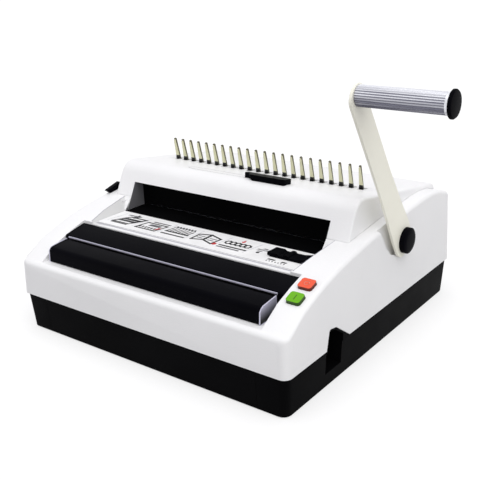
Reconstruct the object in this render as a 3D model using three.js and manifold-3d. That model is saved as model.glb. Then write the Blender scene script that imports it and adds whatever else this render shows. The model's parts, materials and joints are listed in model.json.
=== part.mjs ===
// Desktop comb and wire binding machine: motor punch, comb opener on top, wire closer in front.
// Millimetres. X runs to the right, Y to the rear, Z up. The origin lies on the table,
// in the middle of the machine's footprint.

import * as THREE from 'three';
import { mergeVertices } from 'three/addons/utils/BufferGeometryUtils.js';
import Module from 'manifold-3d';

const wasm = await Module();
wasm.setup();

// Whole machine
const bodyWidth = 416;
const bodyDepth = 406;
const halfWidth = bodyWidth / 2;
const halfDepth = bodyDepth / 2;
const footHeight = 1.4;
const partingHeight = 49.4;
const cheekHeight = 158.3;
const tableDrop = 30.8;
const tableHeight = cheekHeight - tableDrop;
const frontDrop = 31.9;
const frontHeight = tableHeight - frontDrop;
const wall = 3;
const tubWall = 2.5;
const fit = 0.3;
const running = 0.8;
const draftDegrees = 1.8;
const cornerRadius = 10;
const shoulderRadius = 5;
const frontEdgeRadius = 6;
const overrun = 5;

// Cheek outline: share of the depth from the front, share of the rise above the front edge
const cheekShares = [
  [0.015, 0], [0.07, 0.238], [0.135, 0.41], [0.2425, 0.615], [0.33, 0.715],
  [0.45, 0.822], [0.56, 0.885], [0.69, 0.955], [0.81, 1], [0.89, 0.978],
  [0.955, 0.89], [0.985, 0.79], [1, 0.66],
];
const profileStations = 15;
const cornerStations = 5;
const arcSteps = 4;
const noseSteps = 6;

// Sunken places between the cheeks
const cheekWidth = 36;
const wellHalfWidth = halfWidth - cheekWidth;
const wellLip = 0.1;
const wellFloor = frontHeight - wellLip;
const wellFrontDepth = 8;
const wellFrontY = -halfDepth + wellFrontDepth;
const deckSetback = 42.4;
const deckDepth = 34.4;
const deckEdgeRadius = 1.6;
const deckFrontY = wellFrontY + deckSetback;
const deckRearY = deckFrontY + deckDepth;
const deckRearDrop = 0.5;
const deckFrontDrop = 7.5;
const deckRearHeight = tableHeight - deckRearDrop;
const deckFrontHeight = tableHeight - deckFrontDrop;
const tableInset = 51;
const tableHalfWidth = halfWidth - tableInset;
const throatFrontY = -57.5;
const hoodWellInset = 26.5;
const hoodWellHalfWidth = halfWidth - hoodWellInset;
const hoodWellRearInset = 27;
const hoodWellRearY = halfDepth - hoodWellRearInset;

// Hood
const hoodInset = 21;
const hoodHalfWidth = halfWidth - hoodInset;
const hoodDraftDegrees = 1;
const hoodBottomDrop = 5.5;
const hoodBottom = tableHeight - hoodBottomDrop;
const hoodFrontY = -50;
const hoodFrontRise = 0.8;
const hoodFrontBottom = tableHeight + hoodFrontRise;
const hoodLean = 0.4816;
const hoodRise = 59;
const hoodTopAtZero = tableHeight + hoodRise;
const hoodRearRise = 29.484;
const hoodNoseRadius = 22;
const hoodRearInset = 15;
const hoodRearY = halfDepth - hoodRearInset;
const hoodSlope = (hoodRise - hoodRearRise) / hoodRearY;
const hoodTailRadius = 9;
const hoodShoulder = 3;
const throatRise = 36.1;
const throatTop = tableHeight + throatRise;
const slotPlateInset = 22.3;
const slotPlateHalfWidth = hoodHalfWidth - slotPlateInset;

// Throat liner
const linerWall = 2.3;
const linerBackY = -16;
const sheetSlot = 3.2;

// Base tray and drawer
const trayInset = 2.2;
const trayTaper = 2.8;
const trayFloor = 3;
const drawerInset = 42.1;
const drawerHalfWidth = halfWidth - drawerInset;
const drawerFrontThickness = 4;
const drawerRearY = 34;
const drawerHeight = 42;
const gripSetback = 78;
const gripNotchFrontY = -halfDepth + gripSetback;
const gripPeakReach = 7;
const gripShoulderReach = 21;
const gripPocketReach = 37;
const gripNotchLength = 50;
const gripNotchPeakY = gripNotchFrontY + gripPeakReach;
const gripNotchShoulderY = gripNotchFrontY + gripShoulderReach;
const gripPocketRearY = gripNotchFrontY + gripPocketReach;
const gripNotchRearY = gripNotchFrontY + gripNotchLength;
const gripNotchRise = 23.6;
const gripNotchTop = partingHeight + gripNotchRise;
const gripShoulderDrop = 2.5;
const gripNotchShoulder = gripNotchTop - gripShoulderDrop;
const gripFloor = 18;
const gripDepth = 31;
const gripFrame = 1;
const footRadius = 12;
const footRecess = 1;
const footPegRadius = 4;
const footInset = 26;

// Comb
const pitch = 14.2875;
const combY = 52;
const toothLeanDegrees = 11.3;
const toothReach = 29.6;
const toothBaseWidth = 4.6;
const toothRootWidth = 5.8;
const toothRootHeight = 3.4;
const toothTipWidth = 1.6;
const toothThickness = 2;
const rackDepth = 13;
const rackBarHeight = 7;
const hookWidth = 1.8;
const hookBaseDepth = 3.4;
const hookTipDepth = 2.2;
const hookLip = 1.3;
const hookGap = 0.6;
const sleeveWall = 1.2;
const slotPlateThickness = 2.2;
const slotHalfWidth = 3.5;
const slotLead = 4;
const slotPlateFrontY = 45;
const slotPlateRearY = 69;

// Lever
const pivotY = 53.5;
const pivotDrop = 4.8;
const pivotZ = tableHeight - pivotDrop;
const leverLeanDegrees = 31.9;
const leverLength = 231;
const leverThickness = 7;
const leverHubRadius = 18.8;
const leverWaistRadius = 14;
const leverTopRadius = 13;
const leverSideGap = 1.6;
const leverDegrees = 64;
const leverShaftRadius = 6;
const capRadius = 16.2;
const capHeight = 3.6;
const dishFront = 33;
const dishRear = 17;
const dishBottom = 17;
const dishCorner = 38;
const dishReach = 62;
const dishDepth = 6;
const bushRadius = 13;
const gripRadius = 11.4;
const gripLength = 92;
const gripRibs = 28;
const gripRibDepth = 0.5;
const gripCoreRadius = 5;
const gripRingWidth = 3.5;
const gripCapRadius = 14.6;
const gripCapWidth = 4;

// Opener gears: a pinion on the lever shaft turns a sector on the hook shaft
const gearModule = 2;
const pinionTeeth = 12;
const sectorTeeth = 34;
const gearPressureDegrees = 20;
const gearAddendumShare = 0.75;
const gearDedendumShare = 1.1;
const gearBacklash = 0.4;
const gearWidth = 6;
const flankSteps = 3;
const sectorAheadDegrees = 16;
const sectorBehindDegrees = 40;
const hookShaftY = 61;
const hookShaftRadius = 3;

// Wire closer
const barSetback = 7.8;
const barDepth = 30;
const barFrontY = wellFrontY + barSetback;
const barRearY = barFrontY + barDepth;
const barSideGap = 8;
const barHalfWidth = wellHalfWidth - barSideGap;
const barRearDrop = 10;
const barFrontDrop = 12.5;
const barRearHeight = tableHeight - barRearDrop;
const barFrontHeight = tableHeight - barFrontDrop;
const barNose = 6;
const barChannelRise = 3.5;
const barChannelHeight = 11.5;
const barChannelLow = wellFloor + barChannelRise;
const barChannelHigh = barChannelLow + barChannelHeight;
const barChannelDepth = 7;
const anvilThickness = 1.2;
const closerStroke = 2.6;
const closerCamReach = 12;
const closerCamWidth = 6;
const rodInset = 17.5;
const rodX = barHalfWidth - rodInset;
const rodWidth = 5;
const rodRise = 6.5;
const rodLow = wellFloor + rodRise;
const rodHeight = 5;
const rodTabThickness = 3;
const rodTabRise = 8.5;
const rodTabTop = tableHeight + rodTabRise;

// Punch
const punchY = -8;
const punchStroke = 9;
const punchCamReach = 8;
const punchCamWidth = 8;
const camShaftRise = 38.5;
const camShaftZ = tableHeight + camShaftRise;
const camShaftRadius = 5;
const pinWidth = 7.6;
const pinDepth = 2.8;
const punchBarHeight = 8;
const punchBarHalfDepth = 6.5;
const dieThickness = 13;
const stripperThickness = 8;
const dieHalfDepth = 7;

// Side frames, motor and electrics
const frameInset = 41;
const frameInnerX = halfWidth - frameInset;
const frameThickness = 2.5;
const frameRearY = 150;
const gearInset = 10;
const gearX = frameInnerX - gearInset;
const punchCamInset = 57;
const punchCamX = frameInnerX - punchCamInset;
const combInset = 13;
const fingerCount = 1 + Math.floor(2 * (frameInnerX - combInset) / pitch);
const gearboxWidth = 11;
const motorRoom = rodLow - drawerHeight;
const motorRadius = motorRoom / 3;
const motorLength = 78;
const motorY = -50;
const motorRiseShare = 0.6333;
const motorZ = drawerHeight + motorRiseShare * motorRoom;
const inletX = -120;
const inletRise = 28.6;
const inletZ = partingHeight + inletRise;
const inletHalfWidth = 14;
const inletHalfHeight = 10;

// Buttons
const buttonInset = 20;
const buttonX = halfWidth - buttonInset;
const greenButtonSetback = 48;
const greenButtonY = -halfDepth + greenButtonSetback;
const buttonSpacing = 22.5;
const redButtonY = greenButtonY + buttonSpacing;
const buttonWidth = 17;
const buttonDepth = 15;
const buttonRise = 3.2;
const buttonSkirt = 6;
const buttonTravel = 2.5;
const buttonStemRadius = 2.5;
const switchHalf = 6;
const switchHeight = 8;
const boardThickness = 1.6;

// Slides on the covers
const guideInset = 1.5;
const guideWidth = 53.5;
const guideRightX = tableHalfWidth - guideInset;
const guideLeftX = guideRightX - guideWidth;
const guideFrontY = -91;
const guideRearY = -66;
const guideHeight = 8;
const guideSaddle = 4.5;
const guideBlockWidth = 13;
const guideKnobRadius = 4;
const guideSlotWidth = 4;
const guideTravel = 18;
const gaugeLeftX = 24;
const gaugeRightX = 68;
const gaugeY = 2;
const gaugeTrackDepth = 8;
const gaugeOverhang = 10;
const gaugeKnobRear = 4;
const gaugeLobeFront = 5;
const gaugeKnobFront = 13;
const gaugeKnobHeight = 5.5;
const gaugeTravel = 9;
const selectorInset = 9;
const selectorX = -halfWidth + selectorInset;
const selectorWidth = 6;
const selectorFrontY = -50;
const selectorLength = 27;
const selectorHeight = 9;
const selectorNose = 5.5;
const selectorChin = 6;
const selectorTravel = 14;
const labelThickness = 0.8;
const labelFrontY = -109;

const degrees = Math.PI / 180;
const trayTop = partingHeight - fit;
const weldTolerance = 1e-3;
const roundSides = 24;
const fewSides = 16;

// Solids and their joins and cuts
function toSolid(geometry) {
  const bare = new THREE.BufferGeometry();
  bare.setAttribute('position', geometry.getAttribute('position').clone());
  if (geometry.index) {
    bare.setIndex(geometry.index.clone());
  }
  const welded = mergeVertices(bare, weldTolerance);
  const vertProperties = Float32Array.from(welded.getAttribute('position').array);
  const triVerts = Uint32Array.from(welded.index.array);
  return new wasm.Manifold(new wasm.Mesh({ numProp: 3, vertProperties, triVerts }));
}

function toGeometry(solid) {
  const mesh = solid.getMesh();
  const geometry = new THREE.BufferGeometry();
  geometry.setAttribute('position', new THREE.BufferAttribute(mesh.vertProperties, 3));
  geometry.setIndex(new THREE.BufferAttribute(mesh.triVerts, 1));
  return geometry;
}

function join(first, ...others) {
  return others.reduce((whole, other) => whole.add(other), first);
}

function cut(first, ...tools) {
  return tools.reduce((rest, tool) => rest.subtract(tool), first);
}

function common(first, second) {
  return first.intersect(second);
}

// An outline whose corners are rounded where a third number gives the radius
function roundedOutline(corners, steps = arcSteps) {
  const points = [];
  corners.forEach(([x, y, radius = 0], index) => {
    const corner = new THREE.Vector2(x, y);
    if (radius === 0) {
      points.push(corner);
      return;
    }
    const before = corners[(index + corners.length - 1) % corners.length];
    const after = corners[(index + 1) % corners.length];
    const toBefore = new THREE.Vector2(before[0] - x, before[1] - y).normalize();
    const toAfter = new THREE.Vector2(after[0] - x, after[1] - y).normalize();
    const half = Math.acos(THREE.MathUtils.clamp(toBefore.dot(toAfter), -1, 1)) / 2;
    const reach = radius / Math.tan(half);
    const middle = toBefore.clone().add(toAfter).normalize();
    const centre = corner.clone().addScaledVector(middle, radius / Math.sin(half));
    const start = corner.clone().addScaledVector(toBefore, reach).sub(centre);
    const end = corner.clone().addScaledVector(toAfter, reach).sub(centre);
    const sweep = Math.atan2(start.cross(end), start.dot(end));
    for (let step = 0; step <= steps; step += 1) {
      const turned = start.clone().rotateAround(new THREE.Vector2(), sweep * step / steps);
      points.push(turned.add(centre));
    }
  });
  return points;
}

function rectangle(x0, y0, x1, y1, radius = 0) {
  return roundedOutline([[x0, y0, radius], [x1, y0, radius], [x1, y1, radius], [x0, y1, radius]]);
}

function circle(radius, x, y, sides = roundSides) {
  const points = [];
  for (let side = 0; side < sides; side += 1) {
    const angle = 2 * Math.PI * side / sides;
    points.push(new THREE.Vector2(x + radius * Math.cos(angle), y + radius * Math.sin(angle)));
  }
  return points;
}

function extrude(points, depth, basis, offset) {
  const geometry = new THREE.ExtrudeGeometry(new THREE.Shape(points), { depth, bevelEnabled: false });
  geometry.applyMatrix4(new THREE.Matrix4().makeBasis(...basis));
  geometry.translate(...offset);
  return toSolid(geometry);
}

const axisX = new THREE.Vector3(1, 0, 0);
const axisY = new THREE.Vector3(0, 1, 0);
const axisZ = new THREE.Vector3(0, 0, 1);

// Outlines in Y and Z drawn out along X, in X and Z along Y, and in X and Y along Z
function alongX(points, x0, x1) {
  return extrude(points, x1 - x0, [axisY, axisZ, axisX], [x0, 0, 0]);
}

function alongY(points, y0, y1) {
  return extrude(points, y1 - y0, [axisX, axisZ, axisY.clone().negate()], [0, y1, 0]);
}

function alongZ(points, z0, z1) {
  return extrude(points, z1 - z0, [axisX, axisY, axisZ], [0, 0, z0]);
}

function block(x0, y0, z0, x1, y1, z1) {
  return alongZ(rectangle(x0, y0, x1, y1), z0, z1);
}

function rod(radius, x0, x1, y, z, sides = roundSides) {
  return alongX(circle(radius, y, z, sides), x0, x1);
}

// A turned piece about a line along X: points give radius and place along the line
function turnedAlongX(profile, y, z, sides = roundSides) {
  const geometry = new THREE.LatheGeometry(profile.map(([r, x]) => new THREE.Vector2(r, x)), sides);
  geometry.rotateZ(-Math.PI / 2);
  geometry.translate(0, y, z);
  return toSolid(geometry);
}

function turnedAlongZ(profile, x, y, sides = roundSides) {
  const geometry = new THREE.LatheGeometry(profile.map(([r, h]) => new THREE.Vector2(r, h)), sides);
  geometry.rotateX(Math.PI / 2);
  geometry.translate(x, y, 0);
  return toSolid(geometry);
}

// Height of a rising outline at one distance along it
function heightAlong(points, distance) {
  const last = points.length - 1;
  if (distance <= points[0].x) {
    return points[0].y;
  }
  for (let index = 1; index <= last; index += 1) {
    const before = points[index - 1];
    const after = points[index];
    if (distance <= after.x) {
      return THREE.MathUtils.mapLinear(distance, before.x, after.x, before.y, after.y);
    }
  }
  return points[last].y;
}

// A moulded cover: arched cross-sections along Y with rounded shoulders and drafted walls
function mouldedCover({ stations, half, topAt, floor, shoulder, draft, taperDepth }) {
  const sections = stations.map(({ y, inset }) => {
    const top = topAt(y);
    const radius = Math.min(shoulder, (top - floor) / 2);
    const side = half - inset;
    const right = [[side, floor]];
    for (let step = 0; step <= arcSteps; step += 1) {
      const angle = Math.PI / 2 * step / arcSteps;
      right.push([side - radius + radius * Math.cos(angle), top - radius + radius * Math.sin(angle)]);
    }
    const left = right.map(([x, z]) => [-x, z]).reverse();
    return [...right, ...left].map(([x, z]) => {
      const lean = draft * (z - floor);
      const narrowed = x - Math.sign(x) * lean;
      return [narrowed, y * (taperDepth ? 1 - lean / taperDepth : 1), z];
    });
  });
  const around = sections[0].length;
  const positions = sections.flat(2);
  const index = [];
  for (let row = 0; row < sections.length - 1; row += 1) {
    for (let point = 0; point < around; point += 1) {
      const a = row * around + point;
      const b = row * around + (point + 1) % around;
      index.push(a, a + around, b, b, a + around, b + around);
    }
  }
  const lastRow = (sections.length - 1) * around;
  for (let point = 1; point < around - 1; point += 1) {
    index.push(0, point, point + 1);
    index.push(lastRow, lastRow + point + 1, lastRow + point);
  }
  const geometry = new THREE.BufferGeometry();
  geometry.setAttribute('position', new THREE.Float32BufferAttribute(positions, 3));
  geometry.setIndex(index);
  return toSolid(geometry);
}

// Stations from front to rear, closer together where the plan corners turn
function stationsBetween(front, rear, corner) {
  const stations = [];
  for (let step = 0; step <= cornerStations; step += 1) {
    const angle = Math.PI / 2 * step / cornerStations;
    const along = corner * (1 - Math.cos(angle));
    const inset = corner * (1 - Math.sin(angle));
    stations.push({ y: front + along, inset });
    stations.push({ y: rear - along, inset });
  }
  for (let step = 1; step < profileStations; step += 1) {
    stations.push({ y: THREE.MathUtils.lerp(front + corner, rear - corner, step / profileStations), inset: 0 });
  }
  return stations.sort((one, other) => one.y - other.y);
}

// Cheek height above the table at a place along the depth
const cheekCurve = new THREE.SplineCurve(cheekShares.map(([along, rise]) => new THREE.Vector2(
  along * bodyDepth - halfDepth,
  frontHeight + rise * (cheekHeight - frontHeight),
))).getPoints(cheekShares.length * arcSteps);

function cheekTop(y) {
  const along = y + halfDepth;
  if (along < frontEdgeRadius) {
    const inset = Math.max(frontEdgeRadius - along, 0);
    return frontHeight - frontEdgeRadius + Math.sqrt(frontEdgeRadius ** 2 - inset ** 2);
  }
  return heightAlong(cheekCurve, y);
}

const bodyDraft = Math.tan(draftDegrees * degrees);

// The outer form of the upper shell, swelled or shrunk evenly
function shellForm(grow, floor) {
  return mouldedCover({
    stations: stationsBetween(-halfDepth - grow, halfDepth + grow, cornerRadius + grow),
    half: halfWidth + grow,
    topAt: (y) => cheekTop(THREE.MathUtils.clamp(y, -halfDepth, halfDepth)) + grow,
    floor,
    shoulder: shoulderRadius + grow,
    draft: bodyDraft,
    taperDepth: halfDepth,
  });
}

const shellSideAtPivot = halfWidth - bodyDraft * (pivotZ - partingHeight);
const openerDistance = gearModule * (pinionTeeth + sectorTeeth) / 2;
const hookShaftZ = pivotZ + Math.sqrt(openerDistance ** 2 - (hookShaftY - pivotY) ** 2);
const rodNotchHalf = rodWidth / 2 + running;

function rodNotches(y0, y1) {
  return [-rodX, rodX].map((x) => block(
    x - rodNotchHalf, y0, rodLow - running, x + rodNotchHalf, y1, rodLow + rodHeight + running,
  ));
}

// Side grips: the shell is notched, and a pocket in the tray stands up through the notch
function gripOutline(shrink, low) {
  return roundedOutline([
    [gripNotchFrontY + shrink, low], [gripNotchRearY - shrink, low],
    [gripNotchRearY - shrink, partingHeight - shrink], [gripNotchShoulderY, gripNotchShoulder - shrink, shoulderRadius],
    [gripNotchPeakY, gripNotchTop - shrink, wall], [gripNotchFrontY + shrink, partingHeight - shrink],
  ], 2);
}

function throughSide(side, outline, inner) {
  const outer = halfWidth + overrun;
  return side > 0 ? alongX(outline, inner, outer) : alongX(outline, -outer, -inner);
}

function buttonTilt(y) {
  return Math.atan2(cheekTop(y + buttonDepth / 2) - cheekTop(y - buttonDepth / 2), buttonDepth);
}

// A solid drawn about a button's own middle, set on the slope of the cheek
function onButton(y, points, low, high) {
  const geometry = new THREE.ExtrudeGeometry(new THREE.Shape(points), { depth: high - low, bevelEnabled: false });
  geometry.translate(0, 0, low);
  geometry.rotateX(buttonTilt(y));
  geometry.translate(buttonX, y, cheekTop(y));
  return toSolid(geometry);
}

function buttonOutline(grow) {
  const halfX = buttonWidth / 2 + grow;
  const halfY = buttonDepth / 2 + grow;
  return rectangle(-halfX, -halfY, halfX, halfY, wall);
}

// Dish round the lever's hub, open at the top and in line with the lever
function dishOutline(grow) {
  return roundedOutline([
    [...armPoint(dishReach, -dishFront - grow)],
    [...armPoint(-dishBottom - grow, -dishFront - grow), dishCorner + grow],
    [...armPoint(-dishBottom - grow, dishRear + grow), dishRear / 2],
    [...armPoint(dishReach, dishRear + grow)],
  ]);
}

function upperShell() {
  const outer = shellForm(0, partingHeight);
  const skin = cut(outer, shellForm(-wall, partingHeight - overrun));
  const well = block(-wellHalfWidth, wellFrontY, wellFloor, wellHalfWidth, deckRearY, cheekHeight);
  const wellTub = block(
    -wellHalfWidth - tubWall, -halfDepth, wellFloor - tubWall,
    wellHalfWidth + tubWall, deckRearY + tubWall, cheekHeight,
  );
  const table = block(-tableHalfWidth, deckRearY - overrun, tableHeight, tableHalfWidth, throatFrontY, cheekHeight);
  const tableTub = block(
    -tableHalfWidth - tubWall, deckRearY, tableHeight - tubWall,
    tableHalfWidth + tubWall, linerBackY, cheekHeight,
  );
  const dish = alongX(dishOutline(0), shellSideAtPivot - dishDepth, halfWidth);
  const dishTub = alongX(dishOutline(tubWall), shellSideAtPivot - dishDepth - tubWall, halfWidth);
  const tubs = common(join(wellTub, tableTub, dishTub), outer);
  const cheekMouth = block(
    -tableHalfWidth, throatFrontY, partingHeight, tableHalfWidth, linerBackY, cheekHeight + overrun,
  );
  const hoodMouth = block(
    -hoodWellHalfWidth, linerBackY, tableHeight - tubWall - overrun,
    hoodWellHalfWidth, hoodWellRearY, cheekHeight + overrun,
  );
  const selectorSlot = block(
    selectorX - guideSlotWidth / 2, selectorFrontY + selectorChin, cheekTop(selectorFrontY) - shoulderRadius - wall,
    selectorX + guideSlotWidth / 2, selectorFrontY + selectorLength + selectorTravel - wall, cheekHeight,
  );
  const guideSlot = block(
    guideLeftX - guideTravel, (guideFrontY + guideRearY - guideSlotWidth) / 2, tableHeight - tubWall - overrun,
    guideRightX - guideTravel / 2, (guideFrontY + guideRearY + guideSlotWidth) / 2, tableHeight + overrun,
  );
  return cut(
    join(skin, tubs), well, table, dish, cheekMouth, hoodMouth, selectorSlot, guideSlot,
    rod(bushRadius + fit, shellSideAtPivot - dishDepth - tubWall - fit, halfWidth, pivotY, pivotZ),
    ...[-1, 1].map((side) => throughSide(
      side, gripOutline(0, partingHeight - overrun), halfWidth - gripDepth - wall - fit,
    )),
    ...rodNotches(deckRearY - overrun, deckRearY + overrun),
    onButton(greenButtonY, buttonOutline(fit), -buttonSkirt - overrun, buttonRise + overrun),
    onButton(redButtonY, buttonOutline(fit), -buttonSkirt - overrun, buttonRise + overrun),
    block(
      inletX - inletHalfWidth - fit, halfDepth - overrun - wall, inletZ - inletHalfHeight - fit,
      inletX + inletHalfWidth + fit, halfDepth + overrun, inletZ + inletHalfHeight + fit,
    ),
  );
}

// Hood: leaning front, rounded nose, long slope to the rear
const noseZ = (hoodTopAtZero - hoodSlope * (hoodFrontY - hoodFrontBottom * hoodLean)) / (1 + hoodSlope * hoodLean);
const noseY = hoodFrontY + (noseZ - hoodFrontBottom) * hoodLean;

function hoodPlane(y) {
  return hoodTopAtZero - hoodSlope * y;
}

const hoodLine = roundedOutline([
  [hoodFrontY, hoodFrontBottom], [noseY, noseZ, hoodNoseRadius],
  [hoodRearY, hoodPlane(hoodRearY), hoodTailRadius], [hoodRearY, hoodPlane(hoodRearY) - hoodTailRadius],
], noseSteps);

function hoodTop(y) {
  return heightAlong(hoodLine, y);
}

function hoodForm(shrink, floor) {
  const front = hoodFrontY + shrink;
  const rear = hoodRearY - shrink;
  const ys = [front];
  const bends = hoodLine.flatMap(({ x }) => [x - shrink, x + shrink]).sort((one, other) => one - other);
  bends.forEach((y) => {
    if (y > ys.at(-1) + weldTolerance && y < rear - weldTolerance) {
      ys.push(y);
    }
  });
  ys.push(rear);
  return mouldedCover({
    stations: ys.map((y) => ({ y, inset: 0 })),
    half: hoodHalfWidth - shrink,
    topAt: (y) => Math.min(hoodTop(y - shrink), hoodTop(y + shrink)) - shrink,
    floor,
    shoulder: hoodShoulder,
    draft: Math.tan(hoodDraftDegrees * degrees),
  });
}

// A piece drawn flat about a place on the hood's sloping top, then tilted to lie on it
function onHood(points, y, low, high) {
  const geometry = new THREE.ExtrudeGeometry(new THREE.Shape(points), { depth: high - low, bevelEnabled: false });
  geometry.translate(0, 0, low);
  geometry.rotateX(-Math.atan(hoodSlope));
  geometry.translate(0, y, hoodPlane(y));
  return toSolid(geometry);
}

const plateMiddleY = (slotPlateFrontY + slotPlateRearY) / 2;
const plateHalfDepth = (slotPlateRearY - slotPlateFrontY) / 2;
const gaugeMiddleX = (gaugeLeftX + gaugeRightX) / 2;

function gaugeTrackOutline(grow) {
  return rectangle(
    gaugeLeftX - grow, -gaugeTrackDepth / 2 - grow, gaugeRightX + grow, gaugeTrackDepth / 2 + grow,
    gaugeTrackDepth / 2 + grow - weldTolerance,
  );
}

function hood() {
  const skin = cut(hoodForm(0, hoodBottom), hoodForm(wall, hoodBottom - overrun));
  const mouth = block(
    -tableHalfWidth, hoodFrontY - overrun, hoodBottom - overrun, tableHalfWidth, linerBackY, throatTop,
  );
  const slotMouth = onHood(
    rectangle(-slotPlateHalfWidth - fit, -plateHalfDepth - fit, slotPlateHalfWidth + fit, plateHalfDepth + fit),
    plateMiddleY, -wall - overrun, overrun,
  );
  const gaugeMouth = onHood(gaugeTrackOutline(fit), gaugeY, -wall - overrun, overrun);
  const throatEnds = [-1, 1].map((side) => {
    const near = side * (tableHalfWidth + fit);
    const far = side * (tableHalfWidth + fit + wall);
    return common(hoodForm(0, hoodBottom), block(
      Math.min(near, far), hoodFrontY, hoodBottom, Math.max(near, far), linerBackY, throatTop,
    ));
  });
  return cut(join(skin, ...throatEnds), shellForm(fit, partingHeight - overrun), mouth, slotMouth, gaugeMouth);
}

// Throat liner: floor, ends and back wall round the mouth where sheets go in
function leanAt(z) {
  return hoodFrontY + (z - hoodFrontBottom) * hoodLean;
}

function throatLiner() {
  const low = tableHeight - tubWall;
  const top = throatTop - fit;
  const body = alongX([
    new THREE.Vector2(throatFrontY + fit, low), new THREE.Vector2(linerBackY, low),
    new THREE.Vector2(linerBackY, top), new THREE.Vector2(leanAt(top) + fit, top),
    new THREE.Vector2(leanAt(tableHeight) + fit, tableHeight), new THREE.Vector2(throatFrontY + fit, tableHeight),
  ], -tableHalfWidth + fit, tableHalfWidth - fit);
  const innerHalf = tableHalfWidth - fit - linerWall;
  const inside = block(
    -tableHalfWidth, hoodFrontY - overrun, tableHeight, tableHalfWidth, linerBackY - linerWall, throatTop + overrun,
  );
  const slot = block(
    -innerHalf, linerBackY - linerWall - overrun, tableHeight, innerHalf, linerBackY + overrun,
    tableHeight + sheetSlot,
  );
  return cut(body, inside, slot);
}

// Label strip in front of the throat, and its edge guide
const guideMiddleY = (guideFrontY + guideRearY) / 2;

function labelStrip() {
  const plate = block(
    -tableHalfWidth + running, labelFrontY, tableHeight + fit,
    tableHalfWidth - running, throatFrontY - fit, tableHeight + fit + labelThickness,
  );
  return cut(plate, block(
    guideLeftX - guideTravel, guideMiddleY - guideSlotWidth / 2, tableHeight - overrun,
    guideRightX - guideTravel / 2, guideMiddleY + guideSlotWidth / 2, tableHeight + overrun,
  ));
}

function edgeGuide() {
  const low = tableHeight + fit + labelThickness + fit;
  const outline = roundedOutline([
    [guideLeftX, guideMiddleY - wall, wall / 2], [guideLeftX + guideHeight, guideFrontY, wall / 2],
    [guideRightX, guideFrontY, wall / 2], [guideRightX, guideRearY, wall / 2],
    [guideLeftX + guideHeight, guideRearY, wall / 2], [guideLeftX, guideMiddleY + wall, wall / 2],
  ]);
  const plate = alongZ(outline, low, low + wall);
  const blockLeft = guideLeftX + guideKnobRadius;
  const blockRight = blockLeft + guideBlockWidth;
  const knobX = guideLeftX + guideWidth / 2 + wall;
  const top = low + guideHeight;
  const saddle = low + guideSaddle;
  const ridge = alongY(roundedOutline([
    [blockLeft, low + wall / 2], [blockLeft, top, wall / 2], [blockRight, top, wall / 2],
    [blockRight + wall, saddle], [guideRightX - 3 * wall, saddle], [guideRightX - wall, top],
    [guideRightX - fit, top], [guideRightX - fit, low + wall / 2],
  ], 2), guideFrontY + wall / 2, guideRearY - wall / 2);
  const knob = alongY(
    circle(guideKnobRadius, knobX, saddle, fewSides), guideFrontY + wall / 2, guideRearY - wall / 2,
  );
  const keyHalf = guideSlotWidth / 2 - fit;
  const key = block(
    guideLeftX + wall, guideMiddleY - keyHalf, tableHeight - tubWall, guideRightX - guideTravel,
    guideMiddleY + keyHalf, low + wall / 2,
  );
  return join(plate, ridge, knob, key);
}

// Front deck and the metal anvil strip on its face
function frontDeck() {
  const low = wellFloor + fit;
  const side = wellHalfWidth - fit;
  const outline = roundedOutline([
    [deckFrontY, low], [deckRearY - fit, low], [deckRearY - fit, deckRearHeight, deckEdgeRadius],
    [deckFrontY, deckFrontHeight, tubWall],
  ]);
  const rise = (deckRearHeight - deckFrontHeight) / (deckRearY - deckFrontY);
  const hollow = roundedOutline([
    [deckFrontY + wall, low - overrun], [deckRearY - fit - wall, low - overrun],
    [deckRearY - fit - wall, deckRearHeight - wall * (1 + rise)],
    [deckFrontY + wall, deckFrontHeight - wall * (1 - rise)],
  ]);
  return cut(
    alongX(outline, -side, side), alongX(hollow, -side + wall, side - wall),
    ...rodNotches(deckFrontY - overrun, deckRearY + overrun),
  );
}

function closerAnvil() {
  const strip = block(
    -barHalfWidth, deckFrontY - fit - anvilThickness, wellFloor + fit,
    barHalfWidth, deckFrontY - fit, deckFrontHeight - fit,
  );
  return cut(strip, ...rodNotches(deckFrontY - overrun, deckFrontY + overrun));
}

function closerBar() {
  const low = wellFloor + fit;
  const outline = roundedOutline([
    [barFrontY, low, wall / 2], [barRearY, low], [barRearY, barChannelLow],
    [barRearY - barChannelDepth, barChannelLow, wall], [barRearY - barChannelDepth, barChannelHigh, wall],
    [barRearY, barChannelHigh], [barRearY, barRearHeight, wall / 2], [barFrontY, barFrontHeight, barNose],
  ]);
  const hollow = roundedOutline([
    [barFrontY + wall, low - overrun], [barRearY - barChannelDepth - wall, low - overrun],
    [barRearY - barChannelDepth - wall, barRearHeight - 1.5 * wall, wall / 2],
    [barFrontY + wall, barFrontHeight - wall, barNose - wall],
  ]);
  return cut(
    alongX(outline, -barHalfWidth, barHalfWidth),
    alongX(hollow, -barHalfWidth + wall, barHalfWidth - wall),
    ...rodNotches(barFrontY + 2 * wall, barRearY + overrun),
  );
}

// Pull rod from the closer bar back to its cam on the lever shaft
const rodTabFront = pivotY + closerCamReach + fit;

function closerRod(x) {
  const front = barFrontY + wall + fit;
  const outline = roundedOutline([
    [front, rodLow], [rodTabFront + rodTabThickness, rodLow, wall / 2],
    [rodTabFront + rodTabThickness, rodTabTop, wall / 2], [rodTabFront, rodTabTop, wall / 3],
    [rodTabFront, rodLow + rodHeight], [front, rodLow + rodHeight],
  ]);
  return alongX(outline, x - rodWidth / 2, x + rodWidth / 2);
}

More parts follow.
